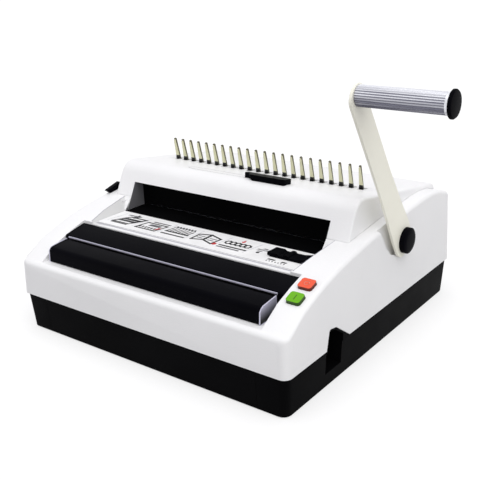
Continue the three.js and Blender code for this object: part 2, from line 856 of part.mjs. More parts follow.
// Snail cam whose push on a flat follower grows evenly as it turns: an involute of its rate circle
function snailCamOutline({ rate, reach, sweep, facing, reversed, hub }) {
  const start = reach / rate;
  const margin = 10 * degrees;
  const turnTo = reversed ? facing - Math.PI / 2 + start : facing + Math.PI / 2 - start;
  const sign = reversed ? -1 : 1;
  const points = [];
  const rise = [start - margin, start + sweep + margin];
  const steps = 2 * arcSteps;
  for (let step = 0; step <= steps; step += 1) {
    const t = THREE.MathUtils.lerp(rise[0], rise[1], step / steps);
    const point = new THREE.Vector2(rate * (Math.cos(t) + t * Math.sin(t)), rate * (Math.sin(t) - t * Math.cos(t)));
    points.push(point);
  }
  const angles = [points.at(-1).angle(), points[0].angle() + 2 * Math.PI];
  for (let step = 1; step <= steps; step += 1) {
    const angle = THREE.MathUtils.lerp(angles[0], angles[1], step / (steps + 1));
    points.push(new THREE.Vector2(hub * Math.cos(angle), hub * Math.sin(angle)));
  }
  const placed = points.map((point) => new THREE.Vector2(point.x, sign * point.y)
    .rotateAround(new THREE.Vector2(), turnTo));
  return reversed ? placed.reverse() : placed;
}

function camOn(points, bore, y, z, x, width) {
  const placed = points.map((point) => new THREE.Vector2(point.x + y, point.y + z));
  return cut(
    alongX(placed, x - width / 2, x + width / 2),
    rod(bore + fit, x - width, x + width, y, z),
  );
}

function closerCam(x) {
  return camOn(snailCamOutline({
    rate: closerStroke / (leverDegrees * degrees), reach: closerCamReach, sweep: leverDegrees * degrees,
    facing: 0, reversed: true, hub: closerCamReach - wall / 2,
  }), leverShaftRadius, pivotY, pivotZ, x, closerCamWidth);
}

function punchCam(x) {
  return camOn(snailCamOutline({
    rate: punchStroke / (Math.PI / 2), reach: punchCamReach, sweep: Math.PI / 2,
    facing: -Math.PI / 2, reversed: false, hub: punchCamReach,
  }), camShaftRadius, punchY, camShaftZ, x, punchCamWidth);
}

// Lever: flat arm, shaft, cap, and the ribbed grip that stands out from its top
const armInner = shellSideAtPivot + leverSideGap;
const armOuter = armInner + leverThickness;
const leanAngle = leverLeanDegrees * degrees;
const gripY = pivotY - leverLength * Math.sin(leanAngle);
const gripZ = pivotZ + leverLength * Math.cos(leanAngle);

function armPoint(along, across) {
  return [
    pivotY - along * Math.sin(leanAngle) + across * Math.cos(leanAngle),
    pivotZ + along * Math.cos(leanAngle) + across * Math.sin(leanAngle),
  ];
}

function leverArm() {
  const waist = 0.45 * leverLength;
  const edge = [
    [0, leverHubRadius], [leverHubRadius, leverHubRadius], [waist / 2, (leverHubRadius + leverWaistRadius) / 2],
    [waist, leverWaistRadius], [leverLength, leverTopRadius],
  ];
  const outline = [];
  const turn = (along, radius, from) => {
    for (let step = 1; step < 2 * arcSteps; step += 1) {
      const angle = from + Math.PI * step / (2 * arcSteps);
      outline.push(armPoint(along + radius * Math.cos(angle), radius * Math.sin(angle)));
    }
  };
  edge.forEach(([along, across]) => outline.push(armPoint(along, -across)));
  turn(leverLength, leverTopRadius, -Math.PI / 2);
  edge.reverse().forEach(([along, across]) => outline.push(armPoint(along, across)));
  turn(0, leverHubRadius, Math.PI / 2);
  const points = outline.map(([y, z]) => new THREE.Vector2(y, z)).reverse();
  return cut(
    alongX(points, armInner, armOuter),
    rod(leverShaftRadius + fit, armInner - overrun, armOuter + overrun, pivotY, pivotZ),
    rod(gripCoreRadius + fit, armInner - overrun, armOuter + overrun, gripY, gripZ),
  );
}

const leverShaftLeft = -frameInnerX - frameThickness - wall;

function leverShaft() {
  return rod(leverShaftRadius, leverShaftLeft, armOuter, pivotY, pivotZ);
}

function leverCap() {
  const face = armOuter + fit;
  return turnedAlongX([
    [0, face], [capRadius, face], [capRadius, face + capHeight / 2], [0.9 * capRadius, face + 0.8 * capHeight],
    [0.6 * capRadius, face + capHeight], [0, face + capHeight],
  ], pivotY, pivotZ);
}

const gripStart = armOuter + fit;
const gripEnd = gripStart + gripLength;

function gripTube() {
  const outline = [];
  for (let rib = 0; rib < 2 * gripRibs; rib += 1) {
    const angle = Math.PI * rib / gripRibs;
    const radius = rib % 2 ? gripRadius - gripRibDepth : gripRadius;
    outline.push(new THREE.Vector2(gripY + radius * Math.cos(angle), gripZ + radius * Math.sin(angle)));
  }
  return cut(
    alongX(outline, gripStart, gripEnd),
    rod(gripCoreRadius + fit, gripStart - overrun, gripEnd + overrun, gripY, gripZ),
  );
}

function gripRing() {
  const low = gripEnd + fit;
  return cut(
    rod(gripRadius + gripRibDepth, low, low + gripRingWidth, gripY, gripZ),
    rod(gripCoreRadius + fit, low - overrun, low + overrun, gripY, gripZ),
  );
}

const gripCapStart = gripEnd + fit + gripRingWidth + fit;

function gripCap() {
  return turnedAlongX([
    [0, gripCapStart], [gripCapRadius, gripCapStart], [gripCapRadius, gripCapStart + gripCapWidth / 2],
    [0.92 * gripCapRadius, gripCapStart + 0.85 * gripCapWidth],
    [0.7 * gripCapRadius, gripCapStart + gripCapWidth], [0, gripCapStart + gripCapWidth],
  ], gripY, gripZ);
}

function gripCore() {
  return turnedAlongX([
    [0, armInner], [gripCoreRadius, armInner], [gripCoreRadius, gripCapStart - fit], [0, gripCapStart - fit],
  ], gripY, gripZ);
}

function hubBush() {
  const inner = shellSideAtPivot - dishDepth - tubWall;
  return cut(
    rod(bushRadius, inner, armInner - fit, pivotY, pivotZ),
    rod(leverShaftRadius + fit, inner - overrun, armInner + overrun, pivotY, pivotZ),
  );
}

// Involute teeth with play, so that the pair turns freely
function gearOutline(teeth, firstToothAngle) {
  const pitchRadius = gearModule * teeth / 2;
  const baseRadius = pitchRadius * Math.cos(gearPressureDegrees * degrees);
  const tipRadius = pitchRadius + gearAddendumShare * gearModule;
  const rootRadius = pitchRadius - gearDedendumShare * gearModule;
  const involute = (angle) => Math.tan(angle) - angle;
  const halfTooth = Math.PI / (2 * teeth) - gearBacklash / (2 * pitchRadius);
  const flank = [[rootRadius, halfTooth + involute(gearPressureDegrees * degrees)]];
  const lowest = Math.max(baseRadius, rootRadius);
  for (let step = 0; step <= flankSteps; step += 1) {
    const radius = THREE.MathUtils.lerp(lowest, tipRadius, step / flankSteps);
    const bend = involute(Math.acos(Math.min(baseRadius / radius, 1)));
    const spread = halfTooth + involute(gearPressureDegrees * degrees) - bend;
    if (radius > rootRadius + weldTolerance) {
      flank.push([radius, spread]);
    }
  }
  const points = [];
  for (let tooth = 0; tooth < teeth; tooth += 1) {
    const middle = firstToothAngle + 2 * Math.PI * tooth / teeth;
    const side = (sign, list) => list.forEach(([radius, spread]) => {
      const angle = middle + sign * spread;
      points.push(new THREE.Vector2(radius * Math.cos(angle), radius * Math.sin(angle)));
    });
    side(-1, flank);
    side(1, [...flank].reverse());
  }
  return points;
}

const meshAngle = Math.atan2(hookShaftZ - pivotZ, hookShaftY - pivotY);

function placedGear(points, y, z) {
  return alongX(
    points.map((point) => new THREE.Vector2(point.x + y, point.y + z)),
    gearX - gearWidth / 2, gearX + gearWidth / 2,
  );
}

function openerPinion() {
  return cut(
    placedGear(gearOutline(pinionTeeth, meshAngle), pivotY, pivotZ),
    rod(leverShaftRadius + fit, gearX - gearWidth, gearX + gearWidth, pivotY, pivotZ),
  );
}

function openerSector() {
  const down = meshAngle + Math.PI;
  const full = placedGear(gearOutline(sectorTeeth, down + Math.PI / sectorTeeth), hookShaftY, hookShaftZ);
  const radius = gearModule * sectorTeeth;
  const wedge = [new THREE.Vector2(hookShaftY, hookShaftZ)];
  for (let step = 0; step <= arcSteps; step += 1) {
    const angle = THREE.MathUtils.lerp(down - sectorAheadDegrees * degrees, down + sectorBehindDegrees * degrees, step / arcSteps);
    wedge.push(new THREE.Vector2(hookShaftY + radius * Math.cos(angle), hookShaftZ + radius * Math.sin(angle)));
  }
  const low = gearX - gearWidth / 2;
  const high = gearX + gearWidth / 2;
  return cut(
    join(
      common(full, alongX(wedge, low - overrun, high + overrun)),
      rod(hookShaftRadius + tubWall / 2, low, high, hookShaftY, hookShaftZ),
    ),
    rod(hookShaftRadius + fit, low - overrun, high + overrun, hookShaftY, hookShaftZ),
  );
}

// Comb: a leaning rack of tapered teeth, with a swinging hook behind each tooth
const leanTooth = toothLeanDegrees * degrees;
const combSurfaceZ = hoodPlane(combY);
const fingerPlaces = Array.from({ length: fingerCount }, (_, i) => (i - (fingerCount - 1) / 2) * pitch);
const holePlaces = fingerPlaces.slice(1).map((x) => x - pitch / 2);

function combRack() {
  const low = -rackDepth;
  const barTop = low + rackBarHeight;
  const side = frameInnerX - fit;
  const points = [new THREE.Vector2(side, low), new THREE.Vector2(side, barTop)];
  [...fingerPlaces].reverse().forEach((x) => {
    points.push(new THREE.Vector2(x + toothRootWidth / 2, barTop));
    points.push(new THREE.Vector2(x + toothRootWidth / 2, toothRootHeight));
    points.push(new THREE.Vector2(x + toothBaseWidth / 2, toothRootHeight + fit));
    points.push(new THREE.Vector2(x + toothTipWidth / 2, toothReach));
    points.push(new THREE.Vector2(x - toothTipWidth / 2, toothReach));
    points.push(new THREE.Vector2(x - toothBaseWidth / 2, toothRootHeight + fit));
    points.push(new THREE.Vector2(x - toothRootWidth / 2, toothRootHeight));
    points.push(new THREE.Vector2(x - toothRootWidth / 2, barTop));
  });
  points.push(new THREE.Vector2(-side, barTop), new THREE.Vector2(-side, low));
  const geometry = new THREE.ExtrudeGeometry(
    new THREE.Shape(points), { depth: toothThickness, bevelEnabled: false },
  );
  geometry.translate(0, 0, -toothThickness / 2);
  geometry.rotateX(Math.PI / 2);
  geometry.rotateX(leanTooth);
  geometry.translate(0, combY, combSurfaceZ);
  return toSolid(geometry);
}

// A place in the hook's own lean: back from the tooth's rear face, and up from the hood's top
function hookPoint(back, up) {
  const reach = toothThickness / 2 + hookGap + back;
  return new THREE.Vector2(
    combY + reach * Math.cos(leanTooth) - up * Math.sin(leanTooth),
    combSurfaceZ + reach * Math.sin(leanTooth) + up * Math.cos(leanTooth),
  );
}

function hookShaft() {
  const side = frameInnerX + frameThickness;
  return rod(hookShaftRadius, -side, side, hookShaftY, hookShaftZ);
}

function openerHooks() {
  const bore = hookShaftRadius + fit;
  const collar = bore + sleeveWall;
  const side = fingerPlaces.at(-1) + hookWidth;
  const sleeve = rod(collar, -side, side, hookShaftY, hookShaftZ, fewSides);
  const tip = toothReach + hookGap;
  const blade = [
    new THREE.Vector2(hookShaftY + bore + sleeveWall / 2, hookShaftZ),
    hookPoint(hookBaseDepth, -collar),
    hookPoint(hookTipDepth, tip),
    hookPoint(hookTipDepth / 2, tip + hookLip),
    hookPoint(-hookGap - toothThickness / 2, tip + hookLip),
    hookPoint(-hookGap - toothThickness / 2, tip),
    hookPoint(0, tip),
    hookPoint(0, -collar),
    new THREE.Vector2(hookShaftY - bore - sleeveWall / 2, hookShaftZ),
  ];
  const blades = fingerPlaces.map((x) => alongX(blade, x - hookWidth / 2, x + hookWidth / 2));
  return cut(join(sleeve, ...blades), rod(bore, -side - overrun, side + overrun, hookShaftY, hookShaftZ, fewSides));
}

function slotPlate() {
  const plate = onHood(
    rectangle(-slotPlateHalfWidth, -plateHalfDepth, slotPlateHalfWidth, plateHalfDepth),
    plateMiddleY, -slotPlateThickness, 0,
  );
  const front = combY - plateMiddleY - toothThickness / 2 - slotLead;
  const rear = hookShaftY - plateMiddleY + hookBaseDepth;
  const slots = fingerPlaces.map((x) => onHood(
    rectangle(x - slotHalfWidth, front, x + slotHalfWidth, rear),
    plateMiddleY, -slotPlateThickness - overrun, overrun,
  ));
  return cut(plate, ...slots);
}

// Punch: die, stripper, and the bar that carries the pins
const dieTop = tableHeight - fit;
const stripperLow = tableHeight + sheetSlot + fit;
const punchBarTop = camShaftZ - punchCamReach - fit;
const punchBarLow = punchBarTop - punchBarHeight;
const dieRearY = punchY + dieHalfDepth;

function pinHoles(low, high) {
  return holePlaces.map((x) => block(
    x - pinWidth / 2 - fit, punchY - pinDepth / 2 - fit, low,
    x + pinWidth / 2 + fit, punchY + pinDepth / 2 + fit, high,
  ));
}

function punchDie() {
  const side = frameInnerX - fit;
  const plate = block(-side, linerBackY + fit, dieTop - dieThickness, side, dieRearY, dieTop);
  return cut(plate, ...pinHoles(dieTop - dieThickness - overrun, dieTop + overrun));
}

function punchStripper() {
  const side = frameInnerX - fit;
  const plate = block(-side, linerBackY + fit, stripperLow, side, dieRearY, stripperLow + stripperThickness);
  return cut(plate, ...pinHoles(stripperLow - overrun, stripperLow + stripperThickness + overrun));
}

function punchBar() {
  const side = holePlaces.at(-1) + pinWidth;
  const bar = block(
    -side, punchY - punchBarHalfDepth, punchBarLow, side, punchY + punchBarHalfDepth, punchBarTop,
  );
  const pins = holePlaces.map((x) => block(
    x - pinWidth / 2, punchY - pinDepth / 2, stripperLow + fit,
    x + pinWidth / 2, punchY + pinDepth / 2, punchBarLow + wall,
  ));
  return join(bar, ...pins);
}

const gearboxRight = -frameInnerX - frameThickness - fit;
const gearboxLeft = gearboxRight - gearboxWidth;

function camShaft() {
  return rod(camShaftRadius, gearboxLeft + wall, frameInnerX + frameThickness, punchY, camShaftZ);
}

// Side frame: stands on the tray floor and carries the shafts, the rack and the punch
const frameNoseY = linerBackY + fit;

function sideFrame(side) {
  const low = footHeight + trayFloor + fit;
  const noseTop = camShaftZ + camShaftRadius + wall;
  const underHood = (y) => [y, hoodPlane(y) - (1 + hoodSlope) * wall - fit];
  const outline = roundedOutline([
    [frameNoseY, low], [frameRearY, low], [frameRearY, pivotZ, shoulderRadius],
    [...underHood(hookShaftY + 3 * wall), shoulderRadius], [...underHood(hookShaftY - 3 * wall), wall],
    [punchY + 6 * wall, noseTop, wall], [frameNoseY, noseTop, wall],
  ]);
  const inner = side * frameInnerX;
  const outer = side * (frameInnerX + frameThickness);
  const x0 = Math.min(inner, outer);
  const x1 = Math.max(inner, outer);
  return cut(
    alongX(outline, x0, x1),
    rod(leverShaftRadius + fit, x0 - overrun, x1 + overrun, pivotY, pivotZ),
    rod(hookShaftRadius + fit, x0 - overrun, x1 + overrun, hookShaftY, hookShaftZ),
    rod(camShaftRadius + fit, x0 - overrun, x1 + overrun, punchY, camShaftZ),
  );
}

function gearbox() {
  const outline = roundedOutline([
    [motorY - motorRadius, motorZ - motorRadius, 4 * wall], [pivotY - 5 * wall, motorZ - motorRadius, 2 * wall],
    [pivotY - 5 * wall, camShaftZ - 4 * wall, 2 * wall], [punchY + 4 * wall, camShaftZ + 2 * wall, 2 * wall],
    [frameNoseY, camShaftZ + 2 * wall, 2 * wall], [frameNoseY, pivotZ - wall, 2 * wall],
    [motorY - motorRadius, pivotZ - wall, 4 * wall],
  ]);
  return cut(
    alongX(outline, gearboxLeft, gearboxRight),
    rod(camShaftRadius + fit, gearboxLeft + wall - fit, gearboxRight + overrun, punchY, camShaftZ),
  );
}

function motor() {
  const start = gearboxRight + fit;
  return turnedAlongX([
    [0, start], [motorRadius, start], [motorRadius, start + motorLength],
    [0.4 * motorRadius, start + motorLength], [0.4 * motorRadius, start + motorLength + wall],
    [0, start + motorLength + wall],
  ], motorY, motorZ);
}

// Base tray: tapers to the floor, open in front for the chip drawer
function trayForm(shrink, low) {
  const halfX = halfWidth - trayInset - shrink;
  const halfY = halfDepth - trayInset - shrink;
  const radius = cornerRadius - shrink;
  const height = trayTop - footHeight;
  const geometry = new THREE.ExtrudeGeometry(
    new THREE.Shape(rectangle(-halfX, -halfY, halfX, halfY, radius)), { depth: height, bevelEnabled: false },
  );
  const position = geometry.getAttribute('position');
  for (let index = 0; index < position.count; index += 1) {
    const lean = trayTaper * (1 - position.getZ(index) / height);
    position.setX(index, position.getX(index) - Math.sign(position.getX(index)) * lean);
    position.setY(index, position.getY(index) - Math.sign(position.getY(index)) * lean);
  }
  geometry.translate(0, 0, low);
  return toSolid(geometry);
}

const footPlaces = [
  ['foot_front_left', -1, -1], ['foot_front_right', 1, -1], ['foot_rear_left', -1, 1], ['foot_rear_right', 1, 1],
].map(([name, sideX, sideY]) => ({
  name, x: sideX * (halfWidth - trayInset - footInset), y: sideY * (halfDepth - trayInset - footInset),
}));

function baseTray() {
  const outer = trayForm(0, footHeight);
  const inner = trayForm(wall, footHeight + trayFloor);
  const lower = common(inner, block(-bodyWidth, -bodyDepth, footHeight + trayFloor, bodyWidth, bodyDepth, trayTop));
  const upper = common(
    trayForm(wall, footHeight),
    block(-bodyWidth, -bodyDepth, trayTop - trayFloor - wall, bodyWidth, bodyDepth, bodyDepth),
  );
  const mouth = block(
    -drawerHalfWidth - fit, -bodyDepth, footHeight + trayFloor, drawerHalfWidth + fit,
    -halfDepth + trayInset + trayTaper + 2 * wall, trayTop + overrun,
  );
  const innerX = halfWidth - gripDepth - tubWall;
  const lowTub = rectangle(gripNotchFrontY + fit, gripFloor - tubWall, gripNotchRearY - fit, trayTop);
  const pocketTubs = [-1, 1].flatMap((side) => [
    common(throughSide(side, lowTub, innerX), outer),
    common(
      throughSide(side, gripOutline(fit, trayTop - wall), innerX), shellForm(-gripFrame, trayTop - wall),
    ),
  ]);
  const pocketRearTop = THREE.MathUtils.mapLinear(
    gripPocketRearY, gripNotchShoulderY, gripNotchRearY, gripNotchShoulder, partingHeight,
  ) - wall;
  const pocket = roundedOutline([
    [gripNotchFrontY + wall, gripFloor], [gripPocketRearY, gripFloor], [gripPocketRearY, pocketRearTop],
    [gripNotchShoulderY, gripNotchShoulder - wall, wall], [gripNotchPeakY, gripNotchTop - wall, wall],
    [gripNotchFrontY + wall, partingHeight],
  ], 2);
  return cut(
    join(cut(outer, lower, upper, block(
      -halfWidth, -halfDepth, trayTop - weldTolerance, halfWidth, halfDepth, trayTop + overrun,
    )), ...pocketTubs),
    mouth,
    ...[-1, 1].map((side) => throughSide(side, pocket, halfWidth - gripDepth)),
    ...footPlaces.flatMap(({ x, y }) => [
      alongZ(circle(footPegRadius + fit, x, y, fewSides), 0, footHeight + trayFloor + overrun),
      alongZ(circle(footRadius + fit, x, y, fewSides), 0, footHeight + footRecess),
    ]),
  );
}

function foot(x, y) {
  const top = footHeight + footRecess - fit;
  return turnedAlongZ([
    [0, 0], [footRadius - footHeight / 2, 0], [footRadius, footHeight], [footRadius, top], [footPegRadius, top],
    [footPegRadius, footHeight + trayFloor], [0, footHeight + trayFloor],
  ], x, y, fewSides);
}

// Chip drawer: front flush with the tray, bin reaching back under the die
const drawerLow = footHeight + trayFloor + fit;

function drawerFront() {
  const slab = block(
    -drawerHalfWidth, -halfDepth, drawerLow, drawerHalfWidth,
    -halfDepth + trayInset + trayTaper + drawerFrontThickness, trayTop - fit,
  );
  return common(trayForm(0, footHeight), slab);
}

function chipDrawer() {
  const front = -halfDepth + trayInset + trayTaper + drawerFrontThickness + fit;
  const side = drawerHalfWidth - running;
  const top = drawerLow + drawerHeight;
  const bin = alongZ(rectangle(-side, front, side, drawerRearY, wall), drawerLow, top);
  const inside = alongZ(
    rectangle(-side + tubWall, front + tubWall, side - tubWall, drawerRearY - tubWall, wall),
    drawerLow + tubWall, top + overrun,
  );
  return cut(bin, inside);
}

// Buttons, their switches and the small board that carries the switches
const switchTop = -buttonSkirt - buttonTravel - fit;
const switchBoreLow = switchTop - switchHeight + wall / 2;

function pushButton(y) {
  const cap = onButton(y, buttonOutline(0), -buttonSkirt, buttonRise);
  const stemLow = switchBoreLow + buttonTravel + fit;
  const stem = onButton(y, circle(buttonStemRadius, 0, 0, fewSides), stemLow, -buttonSkirt + fit);
  return join(cap, stem);
}

function pushSwitch(y) {
  const body = onButton(
    y, rectangle(-switchHalf, -switchHalf, switchHalf, switchHalf), switchTop - switchHeight, switchTop,
  );
  const bore = onButton(
    y, circle(buttonStemRadius + fit, 0, 0, fewSides), switchBoreLow, switchTop + overrun,
  );
  return cut(body, bore);
}

function switchBoard() {
  const left = wellHalfWidth + tubWall + fit;
  const right = halfWidth - wall - bodyDraft * (cheekTop(greenButtonY) - partingHeight) - fit;
  const middle = (greenButtonY + redButtonY) / 2;
  const length = redButtonY - greenButtonY + 2 * switchHalf;
  const geometry = new THREE.ExtrudeGeometry(
    new THREE.Shape(rectangle(left - buttonX, -length / 2, right - buttonX, length / 2)),
    { depth: boardThickness, bevelEnabled: false },
  );
  geometry.translate(0, 0, switchTop - switchHeight - fit - boardThickness - wall / 3);
  geometry.rotateX(buttonTilt(middle));
  geometry.translate(buttonX, middle, cheekTop(middle));
  return toSolid(geometry);
}

// Gauge on the hood's top: track let into the hood, knob that slides along it
function gaugeTrack() {
  return onHood(gaugeTrackOutline(0), gaugeY, -wall + weldTolerance, -weldTolerance);
}

function gaugeKnob() {
  const left = gaugeLeftX - gaugeOverhang;
  const right = gaugeRightX + gaugeOverhang;
  const body = onHood(roundedOutline([
    [left, -gaugeLobeFront, wall], [gaugeLeftX, -gaugeLobeFront], [gaugeLeftX + wall, -gaugeKnobFront, wall],
    [right, -gaugeKnobFront, wall], [right, gaugeKnobRear, wall / 2], [left, gaugeKnobRear, wall / 2],
  ]), gaugeY, -wall, gaugeKnobHeight);
  return cut(body, hoodForm(-fit, hoodBottom));
}

// Selector on the left cheek: a thumb piece whose foot runs in a slot
function marginSelector() {
  const low = cheekTop(selectorFrontY) + fit;
  const rear = selectorFrontY + selectorLength;
  const rise = cheekTop(rear) - cheekTop(selectorFrontY);
  const outline = roundedOutline([
    [selectorFrontY + selectorChin, low + rise * selectorChin / selectorLength], [rear, low + rise],
    [rear, low + rise + selectorHeight, wall / 2], [selectorFrontY, low + selectorNose],
  ]);
  const head = alongX(outline, selectorX - selectorWidth / 2, selectorX + selectorWidth / 2);
  const keyHalf = guideSlotWidth / 2 - fit;
  const key = block(
    selectorX - keyHalf, selectorFrontY + selectorChin + fit, low - wall, selectorX + keyHalf,
    rear - wall, low + rise + wall / 2,
  );
  return join(head, key);
}

// Mains inlet in the rear wall: a socket with three blades inside its mouth
function powerInlet() {
  const rearY = halfDepth - bodyDraft * (inletZ - partingHeight);
  const body = block(
    inletX - inletHalfWidth, rearY - 6 * wall, inletZ - inletHalfHeight,
    inletX + inletHalfWidth, rearY, inletZ + inletHalfHeight,
  );
  const mouth = alongY(roundedOutline([
    [inletX - inletHalfWidth + wall, inletZ - inletHalfHeight + wall],
    [inletX + inletHalfWidth - wall, inletZ - inletHalfHeight + wall],
    [inletX + inletHalfWidth - wall, inletZ + inletHalfHeight - 2 * wall],
    [inletX + inletHalfWidth - 2 * wall, inletZ + inletHalfHeight - wall],
    [inletX - inletHalfWidth + 2 * wall, inletZ + inletHalfHeight - wall],
    [inletX - inletHalfWidth + wall, inletZ + inletHalfHeight - 2 * wall],
  ]), rearY - 5 * wall, rearY + overrun);
  const blades = [-1, 0, 1].map((side) => block(
    inletX + side * 2 * wall - running, rearY - 5 * wall - running, inletZ - wall / 2 + (side ? 0 : wall / 2),
    inletX + side * 2 * wall + running, rearY - wall, inletZ + wall / 2 + (side ? 0 : wall / 2),
  ));
  return join(cut(body, mouth), ...blades);
}

// Materials
const finishes = {
  whiteShell: { color: 0xf1f0f3, roughness: 0.45, metalness: 0 },
  whiteInsert: { color: 0xe9e8ec, roughness: 0.5, metalness: 0 },
  blackPlastic: { color: 0x1b1b1f, roughness: 0.5, metalness: 0 },
  darkLiner: { color: 0x131316, roughness: 0.6, metalness: 0 },
  label: { color: 0xf7f7f7, roughness: 0.6, metalness: 0 },
  khakiSteel: { color: 0xcfcf9c, roughness: 0.4, metalness: 0.5 },
  darkSteel: { color: 0x5b5a45, roughness: 0.4, metalness: 0.7 },
  brightSteel: { color: 0xb9b9c4, roughness: 0.3, metalness: 0.9 },
  zincSteel: { color: 0x9a9ca0, roughness: 0.45, metalness: 0.8 },
  creamPaint: { color: 0xe3dac4, roughness: 0.45, metalness: 0 },
  aluminium: { color: 0xb5b8c2, roughness: 0.35, metalness: 0.9 },
  greenPlastic: { color: 0x5fa31c, roughness: 0.4, metalness: 0 },
  redPlastic: { color: 0xe2452f, roughness: 0.4, metalness: 0 },
  rubber: { color: 0x202020, roughness: 0.9, metalness: 0 },
  board: { color: 0x2f6b3c, roughness: 0.6, metalness: 0 },
  beigePlastic: { color: 0xcfc7ae, roughness: 0.5, metalness: 0 },
};

const materials = Object.fromEntries(
  Object.entries(finishes).map(([name, look]) => [name, new THREE.MeshStandardMaterial(look)]),
);

const machine = new THREE.Group();

function addPart(name, solid, material, group = machine) {
  const mesh = new THREE.Mesh(toGeometry(solid), material);
  mesh.name = name;
  group.add(mesh);
}

function addGroup() {
  const group = new THREE.Group();
  machine.add(group);
  return group;
}

// Casing
addPart('base_tray', baseTray(), materials.blackPlastic);
footPlaces.forEach(({ name, x, y }) => addPart(name, foot(x, y), materials.rubber));
addPart('upper_shell', upperShell(), materials.whiteShell);
addPart('hood', hood(), materials.whiteShell);
addPart('throat_liner', throatLiner(), materials.darkLiner);
addPart('label_strip', labelStrip(), materials.label);
addPart('front_deck', frontDeck(), materials.blackPlastic);
addPart('closer_anvil', closerAnvil(), materials.brightSteel);
addPart('comb_slot_plate', slotPlate(), materials.whiteInsert);
addPart('gauge_track', gaugeTrack(), materials.blackPlastic);
addPart('power_inlet', powerInlet(), materials.blackPlastic);

// Frames, punch block and drive
addPart('frame_left', sideFrame(-1), materials.zincSteel);
addPart('frame_right', sideFrame(1), materials.zincSteel);
addPart('comb_rack', combRack(), materials.khakiSteel);
addPart('punch_die', punchDie(), materials.zincSteel);
addPart('punch_stripper', punchStripper(), materials.zincSteel);
addPart('gearbox', gearbox(), materials.zincSteel);
addPart('motor', motor(), materials.zincSteel);
addPart('hub_bush', hubBush(), materials.beigePlastic);

// Lever and everything that turns with it
const lever = addGroup();
addPart('lever_arm', leverArm(), materials.creamPaint, lever);
addPart('lever_shaft', leverShaft(), materials.zincSteel, lever);
addPart('lever_cap', leverCap(), materials.blackPlastic, lever);
addPart('grip_tube', gripTube(), materials.aluminium, lever);
addPart('grip_ring', gripRing(), materials.aluminium, lever);
addPart('grip_cap', gripCap(), materials.blackPlastic, lever);
addPart('grip_core', gripCore(), materials.zincSteel, lever);
addPart('opener_pinion', openerPinion(), materials.zincSteel, lever);
addPart('closer_cam_left', closerCam(-rodX), materials.zincSteel, lever);
addPart('closer_cam_right', closerCam(rodX), materials.zincSteel, lever);

// Comb opener
const opener = addGroup();
addPart('hook_shaft', hookShaft(), materials.zincSteel, opener);
addPart('opener_hooks', openerHooks(), materials.darkSteel, opener);
addPart('opener_sector', openerSector(), materials.zincSteel, opener);

// Wire closer
const closer = addGroup();
addPart('closer_bar', closerBar(), materials.blackPlastic, closer);
addPart('closer_rod_left', closerRod(-rodX), materials.zincSteel, closer);
addPart('closer_rod_right', closerRod(rodX), materials.zincSteel, closer);

// Punch drive
const punch = addGroup();
addPart('cam_shaft', camShaft(), materials.zincSteel, punch);
addPart('punch_cam_left', punchCam(-punchCamX), materials.zincSteel, punch);
addPart('punch_cam_right', punchCam(punchCamX), materials.zincSteel, punch);
addPart('punch_bar', punchBar(), materials.brightSteel, punch);

// Drawer, buttons and slides
const fittings = addGroup();
addPart('drawer_front', drawerFront(), materials.blackPlastic, fittings);
addPart('chip_drawer', chipDrawer(), materials.blackPlastic, fittings);
addPart('green_button', pushButton(greenButtonY), materials.greenPlastic, fittings);
addPart('red_button', pushButton(redButtonY), materials.redPlastic, fittings);
addPart('green_switch', pushSwitch(greenButtonY), materials.blackPlastic, fittings);
addPart('red_switch', pushSwitch(redButtonY), materials.blackPlastic, fittings);
addPart('switch_board', switchBoard(), materials.board, fittings);
addPart('edge_guide', edgeGuide(), materials.blackPlastic, fittings);
addPart('gauge_knob', gaugeKnob(), materials.blackPlastic, fittings);
addPart('margin_selector', marginSelector(), materials.blackPlastic, fittings);

export default machine;
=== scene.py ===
"""Looks of a desktop comb and wire binding machine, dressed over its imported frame.

Lengths are metres in the frame's own axes: X to the right, Y to the rear, Z up from the table.
Outlines of prints, plates and hairlines are drawn in millimetres, and become metres when they are made.
"""

import json
import math

import bmesh
import bpy
from mathutils import Matrix, Vector

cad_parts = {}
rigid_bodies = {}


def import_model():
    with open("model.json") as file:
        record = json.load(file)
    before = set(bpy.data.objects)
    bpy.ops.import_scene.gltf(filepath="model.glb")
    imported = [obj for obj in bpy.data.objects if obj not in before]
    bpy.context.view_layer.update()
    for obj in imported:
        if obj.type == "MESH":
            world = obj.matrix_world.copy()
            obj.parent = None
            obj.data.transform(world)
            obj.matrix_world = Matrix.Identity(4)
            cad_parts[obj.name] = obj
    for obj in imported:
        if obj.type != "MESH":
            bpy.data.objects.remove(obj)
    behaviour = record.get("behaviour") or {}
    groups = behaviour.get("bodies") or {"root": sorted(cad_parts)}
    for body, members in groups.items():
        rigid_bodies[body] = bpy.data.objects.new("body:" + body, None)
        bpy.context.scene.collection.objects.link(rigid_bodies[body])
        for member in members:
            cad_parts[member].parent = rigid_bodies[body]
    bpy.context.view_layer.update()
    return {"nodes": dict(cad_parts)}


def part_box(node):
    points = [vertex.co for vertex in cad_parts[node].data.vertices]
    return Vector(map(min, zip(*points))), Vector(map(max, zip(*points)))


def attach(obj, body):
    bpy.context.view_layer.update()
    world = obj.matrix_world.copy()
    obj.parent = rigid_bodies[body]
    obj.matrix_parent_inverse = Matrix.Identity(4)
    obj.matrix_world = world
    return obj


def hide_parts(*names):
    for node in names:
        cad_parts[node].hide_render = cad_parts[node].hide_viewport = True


MM = 0.001
SIDES = ((-1, "left"), (1, "right"))

# Camera
CAMERA_AZIMUTH = math.radians(37.74)
CAMERA_ELEVATION = math.radians(20.56)
CAMERA_ROLL = math.radians(-2.11)
CAMERA_PLACE = Vector((0.60108, -0.77966, 0.46724))
CAMERA_LENS = 59.16
CAMERA_NEAR = 10 * MM
SENSOR_WIDTH = 36.0

